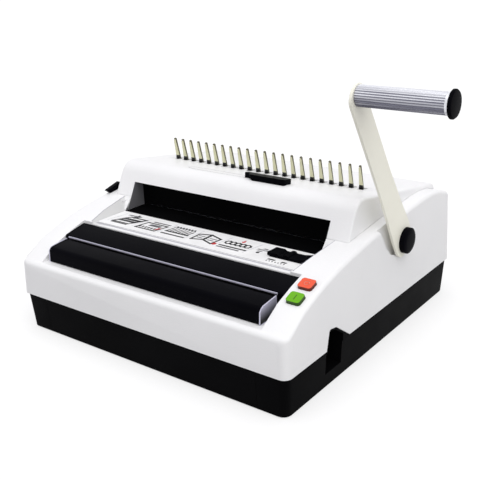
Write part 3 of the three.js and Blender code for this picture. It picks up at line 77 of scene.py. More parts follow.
# Stage: a pale floor and world, which are white where they are seen directly
WHITE = (1, 1, 1)
FLOOR_SIZE = 14.0
FLOOR_COLOUR = (0.40, 0.40, 0.40)
FLOOR_ROUGHNESS = 0.9
FLOOR_LIFT = 0.61
WORLD_COLOUR = (0.965, 0.955, 1.0)
WORLD_STRENGTH = 0.65

# Lamps: each direction points from the object to the lamp
LAMP_ANGLE = math.radians(60)
KEY_DIRECTION = (0.15, -0.2, 1.0)
KEY_STRENGTH = 1.3
FILL_DIRECTION = (1.0, -0.5, 0.7)
FILL_STRENGTH = 0.66
FILL_COLOUR = (1.0, 1.0, 0.95)

# Edges and smoothing of the solids, and how far a print stands up
WELD_DISTANCE = 0.01 * MM
SMOOTH_ANGLE = math.radians(32)
EDGE_RADIUS = 0.5 * MM
EDGE_SAMPLES = 4
THIN = 0.12 * MM

# Colours
SHELL_WHITE = (0.85, 0.85, 0.855)
INSERT_WHITE = (0.82, 0.82, 0.83)
TRAY_BLACK = (0.0026, 0.0026, 0.0030)
LINER_BLACK = (0.0020, 0.0020, 0.0023)
BAR_BLACK = (0.0022, 0.0022, 0.0034)
LABEL_WHITE = (0.86, 0.86, 0.86)
FINGER_KHAKI = (0.70, 0.69, 0.46)
# Black of painted shade: in the comb's slots, behind the closer bar and down in its well
PAINTED_SHADE_BLACK = (0.004, 0.004, 0.004)
HOOK_BROWN = (0.115, 0.105, 0.055)
STEEL_GREY = (0.42, 0.43, 0.45)
STRIP_LILAC = (0.62, 0.61, 0.74)
LEVER_CREAM = (0.98, 0.96, 0.84)
# Dark of the grip's streaks and of its painted shade
GRIP_STREAK_AND_SHADE_DARK = (0.17, 0.17, 0.22)
GRIP_PALE = (0.82, 0.83, 0.88)
GREEN = (0.135, 0.42, 0.004)
RED = (0.82, 0.105, 0.045)
RUBBER_BLACK = (0.010, 0.010, 0.010)
BOARD_GREEN = (0.03, 0.13, 0.06)
BUSH_BEIGE = (0.60, 0.55, 0.40)
INK_BLACK = (0.010, 0.010, 0.012)
INK_GREY = (0.11, 0.11, 0.12)
INK_PALE = (0.60, 0.60, 0.64)
INK_RED = (0.60, 0.03, 0.03)
GROOVE_LILAC = (0.42, 0.42, 0.47)
GROOVE_PALE = (0.45, 0.45, 0.46)
# Painted shade on the white shell's leaning inner cheek walls
CHEEK_WALL_SHADE_GREY = (0.66, 0.66, 0.66)
# Painted shade on the white shell's end walls of the throat
THROAT_END_SHADE_GREY = (0.13, 0.13, 0.14)
KEY_MARK_PALE = (0.85, 0.30, 0.22)

# Keys: how dark the painted shade down the skirt is, how deep the colour of the green mark is, and the slopes
# between which the skirt's painted shade ends
KEY_SKIRT_SHADE_SHARE = 0.16
KEY_MARK_SHARE = 0.35
KEY_SKIRT_SHADE_SLOPES = (0.55, 0.9)

# Patterns: the scale and detail of each noise, and how far apart its light and dark parts are taken
PATTERN_RANGE = (0.3, 0.7)
SLOW_DRIFT = (9, 3)
GLOSS_DRIFT = (40, 4)
FILM_DRIFT = (60, 3)
FILM_GRAIN = (500, 2)
PAINT_DRIFT = (14, 3)
PAINT_PEEL = (700, 2)
METAL_LINES = (420, 4)
GRIP_STREAKS = (380, 5)
GRAIN_DETAIL = 3

# Stretch of the lines in metal: they run along the axis that is stretched least
ALONG_BAR = (1, 8, 8)
UP_BAR_END = (8, 8, 1)
UP_FINGER = (6, 6, 1)
ROUND_RING = (8, 1, 1)
ALONG_GRIP = (0.02, 1, 1)

# Relief of the surfaces
PLASTIC_RELIEF = 0.12 * MM
SHELL_RELIEF = 0.3 * MM
FILM_RELIEF = 0.08 * MM
PAINT_RELIEF = 0.1 * MM
LINE_RELIEF = 0.05 * MM
RIB_RELIEF = 0.1 * MM

# Width over which painted shade fades into the own colour on the fingers and on the closer's steel strip
SHADE_EDGE_BLUR = 0.4 * MM

# Shine and gloss: the blacks barely reflect, and roughness drifts by a little either way
BLACK_SHINE = 0.012
LINER_SHINE = 0.01
FILM_SHINE = 0.3
KEY_SHINE = 0.25
PLASTIC_GLOSS_CHANGE = 0.06
METAL_GLOSS_CHANGE = (-0.08, 0.1)
GRIP_GLOSS = (0.25, 0.42)

# Grip: contrast of its streaks, and the slopes between which its painted shade on the lower side turns to
# painted highlight on the upper side
STREAK_CONTRAST = 1.7
GRIP_PAINTED_LIGHT_SLOPES = (-0.1, 1.0)

# Comb: the hood's sloping top, and the height above it up to which the fingers are painted black as shade in
# the slots
HOOD_TOP_AT_ZERO = 186.5 * MM
HOOD_SLOPE = 0.157
FINGER_SHADED_ROOT = 5.2 * MM

# Cheeks beside the table: their inner walls and the skin behind them, which lean outwards above the table
TABLE_TOP = 127.5 * MM
SHELL_WALL = 2.5 * MM
CHEEK_WALL = 157 * MM
CHEEK_SKIN = CHEEK_WALL + SHELL_WALL
CHEEK_FRONT = -118 * MM
CHEEK_REAR = -57.4 * MM
CHEEK_SLOPE = 0.7
CHEEK_SKIN_ROOM = 1 * MM
CHEEK_SKIN_TOP = 140 * MM

# Posts that fill the place between a leaning cheek and the throat's end
POST_FOOT_Y = -57.5 * MM
POST_TOP_Y = -43 * MM
POST_TOP_Z = 144.3 * MM
POST_REAR = -38 * MM

# Hairline on a cheek's upper edge: its course in Y and Z, and its half width, depth and rise
CHEEK_EDGE = [
    (-116.5, 130.6), (-114.3, 131.2), (-88.8, 137.2), (-63.4, 141.1), (POST_TOP_Y / MM, POST_TOP_Z / MM),
]
HAIRLINE_HALF = 0.3
HAIRLINE_DEPTH = 0.3
HAIRLINE_RISE = 0.15

# Lever: how much thinner and wider its arm is than the solid, from where to where it widens, and its lean
ARM_THINNER = 4 * MM
ARM_WIDER = 4.2 * MM
ARM_CORE = 7 * MM
ARM_EDGE = 13 * MM
LEVER_LEAN = math.radians(31.9)

# The arm's outer side: corners this far inside are part of it, and what starts this near outside sits on it
ARM_SKIN = 0.5 * MM
ARM_SEAT = 1.3 * MM

# Wire closer: the unshaded top of its steel strip, with painted shade below it, and the painted shade at the
# foot of its end plates
STRIP_UNSHADED_TOP = 1.5 * MM
BAR_END_SHADE = 4 * MM

# End plates of the closer bar, in millimetres: how far they stand out, their nose in Y and Z, and their rims
BAR_END_PROUD = 0.5
BAR_END_CORNER = 1.5
BAR_END_NOSE = [(7, 2.6), (3, 4.6), (0.8, 7.5)]
BAR_END_INNER = 0.05
BAR_END_OUTER = 0.9
BAR_RIM_OUTER = 1.3
BAR_RIM_WIDTH = 0.8

# Comb gauge: it stands taller, longer and further forward than its solid
GAUGE_TALLER_SHARE = 0.25
GAUGE_LONGER = 3 * MM
GAUGE_FORWARD = 1.5 * MM

# Edge guide: it is lower, shallower and longer than its solid
GUIDE_HEIGHT_SHARE = 0.55
GUIDE_DEPTH_SHARE = 0.84
GUIDE_LONGER = 4 * MM

# Label strip, in millimetres: five panels of plain motifs, with slanted lines between them
PANEL_FIRST_X = -124
PANEL_STEP = 45
PANEL_Y = -82
PANEL_WIDTH_SHARE = 1.2
PANEL_DEPTH_SHARE = 1.3
PANEL_LINE = [(-3, -15), (3, 17)]
PANEL_LINE_WIDTH = 0.7

# Strokes of the motifs, in millimetres
HEAVY_LINE = 2.2
SHEET_LINE = 2.1
PLAIN_LINE = 2.0
COIL_LINE = 1.8
LIGHT_LINE = 1.6

# Arrows: the head's length beside the whole, and its width and the shaft's beside the head
ARROW_HEAD_SHARE = 0.5
ARROW_WIDTH_SHARE = 0.7
ARROW_SHAFT_SHARE = 0.28

# Marks round the edge guide, in millimetres: a dot, bars, a row of ticks and dashes
GUIDE_DOT = (91, -88, 2.3)
GUIDE_BARS = [(112, -99, 122, -96.2, 1), (131, -99.5, 138, -96.8, 1)]
GUIDE_TICK = (113, -103.4, 114.4, -101)
GUIDE_TICKS = 7
GUIDE_TICK_STEP = 4
GUIDE_DASHES = [(87, -84.3, 93, -82.5, 1.5), (90, -75.5, 96, -73.5, 1.5)]

# Groove in front of the label: how far it lies from the label's ends, front and foot
TABLE_GROOVE_INSET = 0.7 * MM
TABLE_GROOVE_NEAR = 1.2 * MM
TABLE_GROOVE_FAR = 3.2 * MM
TABLE_GROOVE_DROP = 0.3 * MM

# Groove round the gauge's track, in millimetres
GAUGE_GROOVE = [(16, 10), (-60, 11), (-84, 8), (-86, 0), (-74, -5), (16, -4)]
GAUGE_GROOVE_WIDTH = 0.55

# Throat ends, in millimetres: their outline in Y and Z, and their thickness
THROAT_END = [(-57.3, 127.6), (-16.4, 127.6), (-16.4, 163.4), (-33.2, 163.4), (-50.2, 129.5)]
THROAT_END_THICKNESS = 0.35

# Key faces: half their depth along the slope, and their tilts
KEY_HALF_DEPTH = 7.5 * MM
GREEN_KEY_TILT = math.radians(19.895)
RED_KEY_TILT = math.radians(17.116)

# Key marks, in millimetres: half the green bar's length, the red ring's radius, and the width of each
KEY_BAR_HALF = 3.2
KEY_BAR_WIDTH = 1.1
KEY_RING_RADIUS = 2.9
KEY_RING_WIDTH = 0.8

# Solids by look
NODE_LOOKS = {
    "white_shell": ["upper_shell", "hood"],
    "insert": ["comb_slot_plate"],
    "tray": [
        "base_tray", "drawer_front", "chip_drawer", "gauge_track", "power_inlet",
        "green_switch", "red_switch",
    ],
    "bar": [
        "closer_bar", "front_deck", "lever_cap", "grip_cap",
        "edge_guide", "gauge_knob", "margin_selector",
    ],
    "liner": ["throat_liner"],
    "label": ["label_strip"],
    "finger": ["comb_rack"],
    "hook": ["opener_hooks"],
    "strip": ["closer_anvil", "punch_bar"],
    "steel": [
        "frame_left", "frame_right", "punch_die", "punch_stripper", "motor", "lever_shaft", "grip_core",
        "opener_pinion", "closer_cam_left", "closer_cam_right", "hook_shaft", "opener_sector",
        "closer_rod_left", "closer_rod_right", "cam_shaft", "punch_cam_left", "punch_cam_right",
    ],
    "cast": ["gearbox"],
    "cream": ["lever_arm"],
    "grip": ["grip_tube"],
    "ring": ["grip_ring"],
    "green": ["green_button"],
    "red": ["red_button"],
    "rubber": ["foot_front_left", "foot_front_right", "foot_rear_left", "foot_rear_right"],
    "board": ["switch_board"],
    "bush": ["hub_bush"],
}


def shader(name, colour, roughness, metallic=0.0):
    """A material with its Principled node, and its node tree."""
    material = bpy.data.materials.new(name)
    material.use_nodes = True
    tree = material.node_tree
    surface = tree.nodes["Principled BSDF"]
    surface.inputs["Base Color"].default_value = (*colour, 1)
    surface.inputs["Roughness"].default_value = roughness
    surface.inputs["Metallic"].default_value = metallic
    return material, tree, surface


def calculate(tree, operation, *values, clamp=False):
    """One step of arithmetic over numbers and the outputs of other nodes."""
    node = tree.nodes.new("ShaderNodeMath")
    node.operation = operation
    node.use_clamp = clamp
    for place, value in zip(node.inputs, values):
        if isinstance(value, bpy.types.NodeSocket):
            tree.links.new(value, place)
        else:
            place.default_value = value
    return node.outputs[0]


def mapped(tree, value, source=(0, 1), target=(0, 1)):
    """A value taken in a straight line from one range to another, and held at the ends."""
    node = tree.nodes.new("ShaderNodeMapRange")
    for name, number in zip(("From Min", "From Max", "To Min", "To Max"), (*source, *target)):
        node.inputs[name].default_value = number
    tree.links.new(value, node.inputs["Value"])
    return node.outputs["Result"]


def axis_value(tree, output, axis):
    """One axis of the object's own coordinates or normal."""
    place = tree.nodes.new("ShaderNodeTexCoord")
    parts = tree.nodes.new("ShaderNodeSeparateXYZ")
    tree.links.new(place.outputs[output], parts.inputs["Vector"])
    return parts.outputs[axis]


def noise(tree, pattern, stretch=(1, 1, 1)):
    """Noise in object space from its scale and detail, stretched along an axis if asked."""
    place = tree.nodes.new("ShaderNodeTexCoord")
    mapping = tree.nodes.new("ShaderNodeMapping")
    mapping.inputs["Scale"].default_value = stretch
    texture = tree.nodes.new("ShaderNodeTexNoise")
    for name, number in zip(("Scale", "Detail"), pattern):
        texture.inputs[name].default_value = number
    tree.links.new(place.outputs["Object"], mapping.inputs["Vector"])
    tree.links.new(mapping.outputs["Vector"], texture.inputs["Vector"])
    return texture.outputs["Fac"]


def blend_colours(tree, socket, share, low, high):
    """A socket's colour goes from low to high as the share goes from zero to one."""
    blend = tree.nodes.new("ShaderNodeMix")
    blend.data_type = "RGBA"
    blend.inputs["A"].default_value = (*low, 1)
    blend.inputs["B"].default_value = (*high, 1)
    tree.links.new(share, blend.inputs["Factor"])
    tree.links.new(blend.outputs["Result"], socket)


def paint_light_and_shade(tree, surface, share, low, high):
    """The surface has one colour where the share is zero, and the other where it is one: painted shade and
    light.
    """
    blend_colours(tree, surface.inputs["Base Color"], share, low, high)


def vary_colour(tree, surface, texture, colour, amount):
    """The colour goes a little lighter and darker with the texture."""
    ramp = tree.nodes.new("ShaderNodeValToRGB")
    for index, change in enumerate((-amount, amount)):
        element = ramp.color_ramp.elements[index]
        element.position = PATTERN_RANGE[index]
        element.color = (*[min(part * (1 + change), 1) for part in colour], 1)
    tree.links.new(texture, ramp.inputs["Fac"])
    tree.links.new(ramp.outputs["Color"], surface.inputs["Base Color"])


def vary_roughness(tree, surface, texture, low, high):
    """The gloss changes with the texture."""
    tree.links.new(mapped(tree, texture, target=(low, high)), surface.inputs["Roughness"])


def raise_grain(tree, surface, texture, depth, strength):
    """Fine relief, over edges that catch the light as if slightly rounded."""
    rounded = tree.nodes.new("ShaderNodeBevel")
    rounded.samples = EDGE_SAMPLES
    rounded.inputs["Radius"].default_value = EDGE_RADIUS
    bump = tree.nodes.new("ShaderNodeBump")
    tree.links.new(rounded.outputs["Normal"], bump.inputs["Normal"])
    bump.inputs["Strength"].default_value = strength
    bump.inputs["Distance"].default_value = depth
    tree.links.new(texture, bump.inputs["Height"])
    tree.links.new(bump.outputs["Normal"], surface.inputs["Normal"])


def draw_lines(tree, surface, stretch, roughness):
    """Fine lines in the gloss and relief of a metal."""
    lines = noise(tree, METAL_LINES, stretch)
    less, more = METAL_GLOSS_CHANGE
    vary_roughness(tree, surface, lines, roughness + less, roughness + more)
    raise_grain(tree, surface, lines, LINE_RELIEF, strength=0.25)
    return lines


def moulded_plastic(
    name, colour, roughness, grain=1400, depth=PLASTIC_RELIEF, strength=0.35, variation=0.02, shine=0.4,
):
    """Textured injection-moulded plastic: fine grain, and slow drifts of colour and gloss."""
    material, tree, surface = shader(name, colour, roughness)
    surface.inputs["Specular IOR Level"].default_value = shine
    vary_colour(tree, surface, noise(tree, SLOW_DRIFT), colour, variation)
    change = PLASTIC_GLOSS_CHANGE
    vary_roughness(tree, surface, noise(tree, GLOSS_DRIFT), roughness - change, roughness + change)
    raise_grain(tree, surface, noise(tree, (grain, GRAIN_DETAIL)), depth, strength)
    return material


def gloss_plastic(name, colour, roughness):
    """Smooth film or ink, with a faint drift of its colour."""
    material, tree, surface = shader(name, colour, roughness)
    surface.inputs["Specular IOR Level"].default_value = FILM_SHINE
    vary_colour(tree, surface, noise(tree, FILM_DRIFT), colour, amount=0.05)
    raise_grain(tree, surface, noise(tree, FILM_GRAIN), FILM_RELIEF, strength=0.15)
    return material


def key_cap(name, colour):
    """A moulded key: painted shade in deep colour down its skirt, and clear colour on its face."""
    material, tree, surface = shader(name, colour, roughness=0.36)
    surface.inputs["Specular IOR Level"].default_value = KEY_SHINE
    # Painted shade: darker where the surface faces sideways, down the skirt
    face = mapped(tree, axis_value(tree, "Normal", "Z"), KEY_SKIRT_SHADE_SLOPES)
    paint_light_and_shade(tree, surface, face, [KEY_SKIRT_SHADE_SHARE * part for part in colour], colour)
    raise_grain(tree, surface, noise(tree, FILM_GRAIN), FILM_RELIEF, strength=0.15)
    return material


def finger_metal():
    """Painted steel fingers, with painted shade in black where they stand in the slots of the hood."""
    roughness = 0.4
    material, tree, surface = shader("finger_steel", FINGER_KHAKI, roughness, metallic=0.1)
    y = axis_value(tree, "Object", "Y")
    z = axis_value(tree, "Object", "Z")
    height = calculate(tree, "MULTIPLY_ADD", y, HOOD_SLOPE, z)
    # Painted shade: black up to this height above the hood, where the fingers stand in the slots
    root = HOOD_TOP_AT_ZERO + FINGER_SHADED_ROOT
    paint_light_and_shade(tree, surface, mapped(tree, height, (root, root + SHADE_EDGE_BLUR)), PAINTED_SHADE_BLACK, FINGER_KHAKI)
    draw_lines(tree, surface, UP_FINGER, roughness)
    return material


def strip_metal():
    """A bright steel strip with painted shade in black below its upper edge, where it stands behind the bar.
    """
    roughness = 0.35
    material, tree, surface = shader("strip_steel", STRIP_LILAC, roughness, metallic=0.5)
    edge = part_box("closer_anvil")[1][2] - STRIP_UNSHADED_TOP
    # Painted shade: black below the strip's top, where the bar hides it
    bright = mapped(tree, axis_value(tree, "Object", "Z"), (edge - SHADE_EDGE_BLUR, edge))
    paint_light_and_shade(tree, surface, bright, PAINTED_SHADE_BLACK, STRIP_LILAC)
    draw_lines(tree, surface, ALONG_BAR, roughness)
    return material


def bar_end_metal():
    """A steel end plate, with painted shade that darkens it down in the well, and its own pale colour at its
    top.
    """
    roughness = 0.4
    material, tree, surface = shader("bar_end_steel", STRIP_LILAC, roughness, metallic=0.4)
    low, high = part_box("closer_bar")
    # Painted shade: darker towards the foot of the plate, down in the well
    height = mapped(tree, axis_value(tree, "Object", "Z"), (low[2] + BAR_END_SHADE, high[2]))
    paint_light_and_shade(tree, surface, height, PAINTED_SHADE_BLACK, STRIP_LILAC)
    draw_lines(tree, surface, UP_BAR_END, roughness)
    return material


def brushed_metal(name, colour, roughness, stretch, metallic=1.0):
    """Metal with fine lines that show in its colour too."""
    material, tree, surface = shader(name, colour, roughness, metallic)
    vary_colour(tree, surface, draw_lines(tree, surface, stretch, roughness), colour, amount=0.12)
    return material


def ribbed_metal():
    """A ribbed aluminium tube: pale and dark streaks along its length, with painted highlight on its upper
    side and painted shade on its lower side.
    """
    material, tree, surface = shader("grip_aluminium", GRIP_PALE, roughness=0.32, metallic=0.55)
    streaks = noise(tree, GRIP_STREAKS, ALONG_GRIP)
    # Painted light: paler where the surface faces up, darker where it faces down
    level = mapped(tree, axis_value(tree, "Normal", "Z"), GRIP_PAINTED_LIGHT_SLOPES)
    shade = calculate(tree, "SUBTRACT", level, STREAK_CONTRAST / 2)
    share = calculate(tree, "MULTIPLY_ADD", streaks, STREAK_CONTRAST, shade, clamp=True)
    paint_light_and_shade(tree, surface, share, GRIP_STREAK_AND_SHADE_DARK, GRIP_PALE)
    vary_roughness(tree, surface, streaks, *GRIP_GLOSS)
    raise_grain(tree, surface, streaks, RIB_RELIEF, strength=0.35)
    return material


def powder_paint(name, colour, roughness):
    """Sprayed paint with a slight orange peel."""
    material, tree, surface = shader(name, colour, roughness)
    vary_colour(tree, surface, noise(tree, PAINT_DRIFT), colour, amount=0.03)
    raise_grain(tree, surface, noise(tree, PAINT_PEEL), PAINT_RELIEF, strength=0.2)
    return material


def plastic_materials():
    """The moulded shell, tray, bar, keys and small parts."""
    return {
        "white_shell": moulded_plastic(
            "shell_white", SHELL_WHITE, roughness=0.42, grain=520, depth=SHELL_RELIEF, strength=0.6,
        ),
        "insert": moulded_plastic("insert_white", INSERT_WHITE, roughness=0.45),
        "cheek_wall": moulded_plastic("cheek_wall_painted_shade", CHEEK_WALL_SHADE_GREY, roughness=0.45),
        "tray": moulded_plastic("tray_black", TRAY_BLACK, roughness=0.5, variation=0.25, shine=BLACK_SHINE),
        "bar": moulded_plastic(
            "bar_black", BAR_BLACK, roughness=0.4, grain=1800, strength=0.25, variation=0.25,
            shine=BLACK_SHINE,
        ),
        "liner": moulded_plastic(
            "liner_black", LINER_BLACK, roughness=0.6, variation=0.25, shine=LINER_SHINE,
        ),
        "throat_end": moulded_plastic(
            "throat_end_painted_shade", THROAT_END_SHADE_GREY, roughness=0.55, variation=0.2, shine=FILM_SHINE,
        ),
        "groove": moulded_plastic("groove_lilac", GROOVE_LILAC, roughness=0.5),
        "groove_pale": moulded_plastic("groove_pale", GROOVE_PALE, roughness=0.5),
        "green": key_cap("button_green", GREEN),
        "red": key_cap("button_red", RED),
        "rubber": moulded_plastic("foot_rubber", RUBBER_BLACK, roughness=0.8, grain=900),
        "board": gloss_plastic("board_green", BOARD_GREEN, roughness=0.4),
        "bush": moulded_plastic("bush_beige", BUSH_BEIGE, roughness=0.5),
    }


def metal_materials():
    """The comb, lever and grip, the wire closer's steel, and the works inside."""
    return {
        "finger": finger_metal(),
        "hook": brushed_metal("hook_steel", HOOK_BROWN, roughness=0.4, stretch=UP_FINGER, metallic=0.5),
        "steel": brushed_metal("zinc_steel", STEEL_GREY, roughness=0.42, stretch=ALONG_BAR),
        "strip": strip_metal(),
        "bar_end": bar_end_metal(),
        "bar_rim": brushed_metal(
            "bar_rim_steel", STRIP_LILAC, roughness=0.35, stretch=ALONG_BAR, metallic=0.4,
        ),
        "cast": moulded_plastic("cast_metal", STEEL_GREY, roughness=0.55, grain=500, strength=0.5),
        "cream": powder_paint("lever_cream", LEVER_CREAM, roughness=0.42),
        "grip": ribbed_metal(),
        "ring": brushed_metal("ring_aluminium", GRIP_PALE, roughness=0.3, stretch=ROUND_RING, metallic=0.7),
    }


def print_materials():
    """The label's film, its inks, and the marks on the keys."""
    green_mark = [KEY_MARK_SHARE * part for part in GREEN]
    return {
        "label": gloss_plastic("label_film", LABEL_WHITE, roughness=0.4),
        "ink_black": gloss_plastic("ink_black", INK_BLACK, roughness=0.4),
        "ink_grey": gloss_plastic("ink_grey", INK_GREY, roughness=0.5),
        "ink_pale": gloss_plastic("ink_pale", INK_PALE, roughness=0.5),
        "ink_red": gloss_plastic("ink_red", INK_RED, roughness=0.45),
        "key_mark_green": gloss_plastic("key_mark_green", green_mark, roughness=0.4),
        "key_mark_red": gloss_plastic("key_mark_red", KEY_MARK_PALE, roughness=0.4),
    }


def smoothing_nodes():
    """A modifier's node tree that welds the facets and leaves only real edges sharp."""
    tree = bpy.data.node_groups.new("smooth_by_angle", "GeometryNodeTree")
    tree.interface.new_socket("Geometry", in_out="INPUT", socket_type="NodeSocketGeometry")
    tree.interface.new_socket("Geometry", in_out="OUTPUT", socket_type="NodeSocketGeometry")
    start = tree.nodes.new("NodeGroupInput")
    end = tree.nodes.new("NodeGroupOutput")
    weld = tree.nodes.new("GeometryNodeMergeByDistance")
    weld.inputs["Distance"].default_value = WELD_DISTANCE
    faces = tree.nodes.new("GeometryNodeSetShadeSmooth")
    faces.domain = "FACE"
    edges = tree.nodes.new("GeometryNodeSetShadeSmooth")
    edges.domain = "EDGE"
    angle = tree.nodes.new("GeometryNodeInputMeshEdgeAngle")
    flat = tree.nodes.new("FunctionNodeCompare")
    flat.operation = "LESS_THAN"
    flat.inputs[1].default_value = SMOOTH_ANGLE
    link = tree.links.new
    link(start.outputs[0], weld.inputs["Geometry"])
    link(weld.outputs[0], faces.inputs["Geometry"])
    link(faces.outputs[0], edges.inputs["Geometry"])
    link(angle.outputs["Unsigned Angle"], flat.inputs[0])
    link(flat.outputs[0], edges.inputs["Shade Smooth"])
    link(edges.outputs[0], end.inputs[0])
    return tree


def dress_nodes(nodes, materials, smooth):
    """Each solid gets its look and smooth faces."""
    for look, names in NODE_LOOKS.items():
        for name in names:
            node = nodes[name]
            node.data.materials.clear()
            node.data.materials.append(materials[look])
            node.modifiers.new("smooth", "NODES").node_group = smooth


def dressed_copy(node, name, body, smooth):
    """A copy of a solid that stands for it, so that its shape can change."""
    piece = bpy.data.objects.new(name, node.data.copy())
    bpy.context.scene.collection.objects.link(piece)
    piece.modifiers.new("smooth", "NODES").node_group = smooth
    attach(piece, body)
    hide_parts(node.name)
    return piece


def widen_arm(mesh):
    """The arm's front edge stands further out, and its bores stay where they are."""
    low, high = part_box("lever_cap")
    pivot = Vector((0, (low[1] + high[1]) / 2, (low[2] + high[2]) / 2))
    forward = -Vector((0, math.cos(LEVER_LEAN), math.sin(LEVER_LEAN)))
    for corner in mesh.vertices:
        reach = ((corner.co - pivot).dot(forward) - ARM_CORE) / (ARM_EDGE - ARM_CORE)
        corner.co += forward * ARM_WIDER * min(max(reach, 0), 1)


def thin_lever(nodes, smooth):
    """The lever as a thinner plate: the arm's outer side and what starts on it stand nearer the shell."""
    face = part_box("lever_arm")[1][0] - ARM_SKIN
    pieces = {
        "lever_arm": ("arm_plate", "cream_paint", face, 1),
        "lever_cap": ("hub_cap", "black_plastic", face + ARM_SEAT, -1),
        "grip_tube": ("grip_sleeve", "aluminium", face + ARM_SEAT, -1),
    }
    for node, (name, slot, edge, side) in pieces.items():
        mesh = dressed_copy(nodes[node], name, "lever", smooth).data
        for corner in mesh.vertices:
            if side * (corner.co.x - edge) > 0:
                corner.co.x -= ARM_THINNER
        if node == "lever_arm":
            widen_arm(mesh)


def leaning_x(z):
    """How far from the middle a cheek's inner wall stands at a height."""
    return CHEEK_WALL + CHEEK_SLOPE * (z - TABLE_TOP)


def lean_cheeks(nodes, materials, smooth):
    """The shell's cheeks lean outwards on both sides of the table, from its level to their tops, and their
    inner walls are grey with painted shade.
    """
    mesh = dressed_copy(nodes["upper_shell"], "shell_cover", "machine", smooth).data
    for corner in mesh.vertices:
        x, y, z = corner.co
        on_wall = abs(abs(x) - CHEEK_WALL) < WELD_DISTANCE
        if on_wall and abs(y - POST_FOOT_Y) < MM and z > CHEEK_SKIN_TOP:
            corner.co.y = POST_TOP_Y
            corner.co.z = z = POST_TOP_Z
        beside = CHEEK_WALL - WELD_DISTANCE < abs(x) < CHEEK_SKIN + WELD_DISTANCE
        if beside and CHEEK_FRONT < y < CHEEK_REAR and z > TABLE_TOP + WELD_DISTANCE:
            room = CHEEK_SKIN_ROOM if abs(x) > (CHEEK_WALL + CHEEK_SKIN) / 2 else 0
            corner.co.x += math.copysign(CHEEK_SLOPE * (z - TABLE_TOP) + room, x)
    # Painted shade: the leaning inner walls take a grey copy of the shell's white
    mesh.materials.append(materials["cheek_wall"])
    for face in mesh.polygons:
        corners = [mesh.vertices[index].co for index in face.vertices]
        if all(abs(abs(at.x) - leaning_x(at.z)) < WELD_DISTANCE and at.y <= POST_TOP_Y for at in corners):
            face.material_index = 1


def shape_gauge(nodes, smooth):
    """The comb gauge's knob, grown where it stands above the hood, and moved forward along its slope."""
    mesh = dressed_copy(nodes["gauge_knob"], "gauge_slider", "gauge", smooth).data
    low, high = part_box("gauge_knob")
    middle = (low[0] + high[0]) / 2
    for corner in mesh.vertices:
        height = corner.co.z + HOOD_SLOPE * corner.co.y - HOOD_TOP_AT_ZERO
        if height > 0:
            corner.co.z += GAUGE_TALLER_SHARE * height + HOOD_SLOPE * GAUGE_FORWARD
            corner.co.x -= GAUGE_LONGER if corner.co.x < middle else 0
            corner.co.y -= GAUGE_FORWARD


def shape_guide(nodes, smooth):
    """The edge guide, lower and shallower where it stands above the label, and longer at its right end."""
    mesh = dressed_copy(nodes["edge_guide"], "guide_slider", "guide", smooth).data
    low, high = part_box("edge_guide")
    front, end = low[1], high[0] - GUIDE_LONGER
    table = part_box("label_strip")[1][2]
    foot = min(corner.co.z for corner in mesh.vertices if corner.co.z > table)
    for corner in mesh.vertices:
        if corner.co.z > table:
            corner.co.z = foot + GUIDE_HEIGHT_SHARE * (corner.co.z - foot)
            corner.co.y = front + GUIDE_DEPTH_SHARE * (corner.co.y - front)
            corner.co.x += GUIDE_LONGER if corner.co.x > end else 0


def new_piece(name, mesh, material, body):
    """A piece that only this script has, on the body that carries it."""
    mesh.name = name
    piece = bpy.data.objects.new(name, mesh)
    bpy.context.scene.collection.objects.link(piece)
    mesh.materials.append(material)
    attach(piece, body)


def skin_between(build, rings):
    """Faces over the two ends and all sides between two rings of corners."""
    near, far = rings
    build.faces.new(near)
    build.faces.new(list(reversed(far)))
    for i in range(len(near)):
        j = (i + 1) % len(near)
        build.faces.new([near[j], near[i], far[i], far[j]])


def solid_between(*pairs):
    """A mesh of closed solids, each between a near and a far ring of places in metres."""
    build = bmesh.new()
    for pair in pairs:
        skin_between(build, [[build.verts.new(place) for place in ring] for ring in pair])
    bmesh.ops.recalc_face_normals(build, faces=build.faces)
    mesh = bpy.data.meshes.new("piece")
    build.to_mesh(mesh)
    build.free()
    return mesh


def flat_shapes(outlines, place):
    """Thin raised prints: outlines in millimetres on a plane, which place puts in the frame."""
    return solid_between(*[
        [[place @ Vector((x * MM, y * MM, height)) for x, y in outline] for height in (THIN, 0)]
        for outline in outlines
    ])


def prism(outline, x0, x1):
    """A plate between two places along X, from its outline in Y and Z, all in millimetres."""
    return solid_between([[(x * MM, y * MM, z * MM) for y, z in outline] for x in (x0, x1)])


def stroke(points, width):
    """A line of some width, as one four-sided outline for each of its stretches."""
    outlines = []
    for start, end in zip(points, points[1:]):
        along = (Vector(end) - Vector(start)).normalized() * width / 2
        side = Vector((-along.y, along.x))
        first = Vector(start) - along
        last = Vector(end) + along
        outlines.append([first - side, last - side, last + side, first + side])
    return outlines


def disc(x, y, radius, sides=14):
    """A round outline."""
    turns = [2 * math.pi * side / sides for side in range(sides)]
    return [(x + radius * math.cos(turn), y + radius * math.sin(turn)) for turn in turns]


def plate(x0, y0, x1, y1, slant=0.0):
    """A four-sided outline whose far side may lie further to the right."""
    return [(x0, y0), (x1, y0), (x1 + slant, y1), (x0 + slant, y1)]


def arrow(x, y, length, turn):
    """A solid arrow whose tip is at a place, drawn at an angle in degrees."""
    head = ARROW_HEAD_SHARE * length
    shaft = ARROW_SHAFT_SHARE * head
    upper = [(-head, ARROW_WIDTH_SHARE * head), (-head, shaft), (-length, shaft)]
    points = [(0, 0), *upper, *[(px, -py) for px, py in reversed(upper)]]
    cosine = math.cos(math.radians(turn))
    sine = math.sin(math.radians(turn))
    return [(x + px * cosine - py * sine, y + px * sine + py * cosine) for px, py in points]


def loop(points):
    """The points with the first one again at the end."""
    return [*points, points[0]]


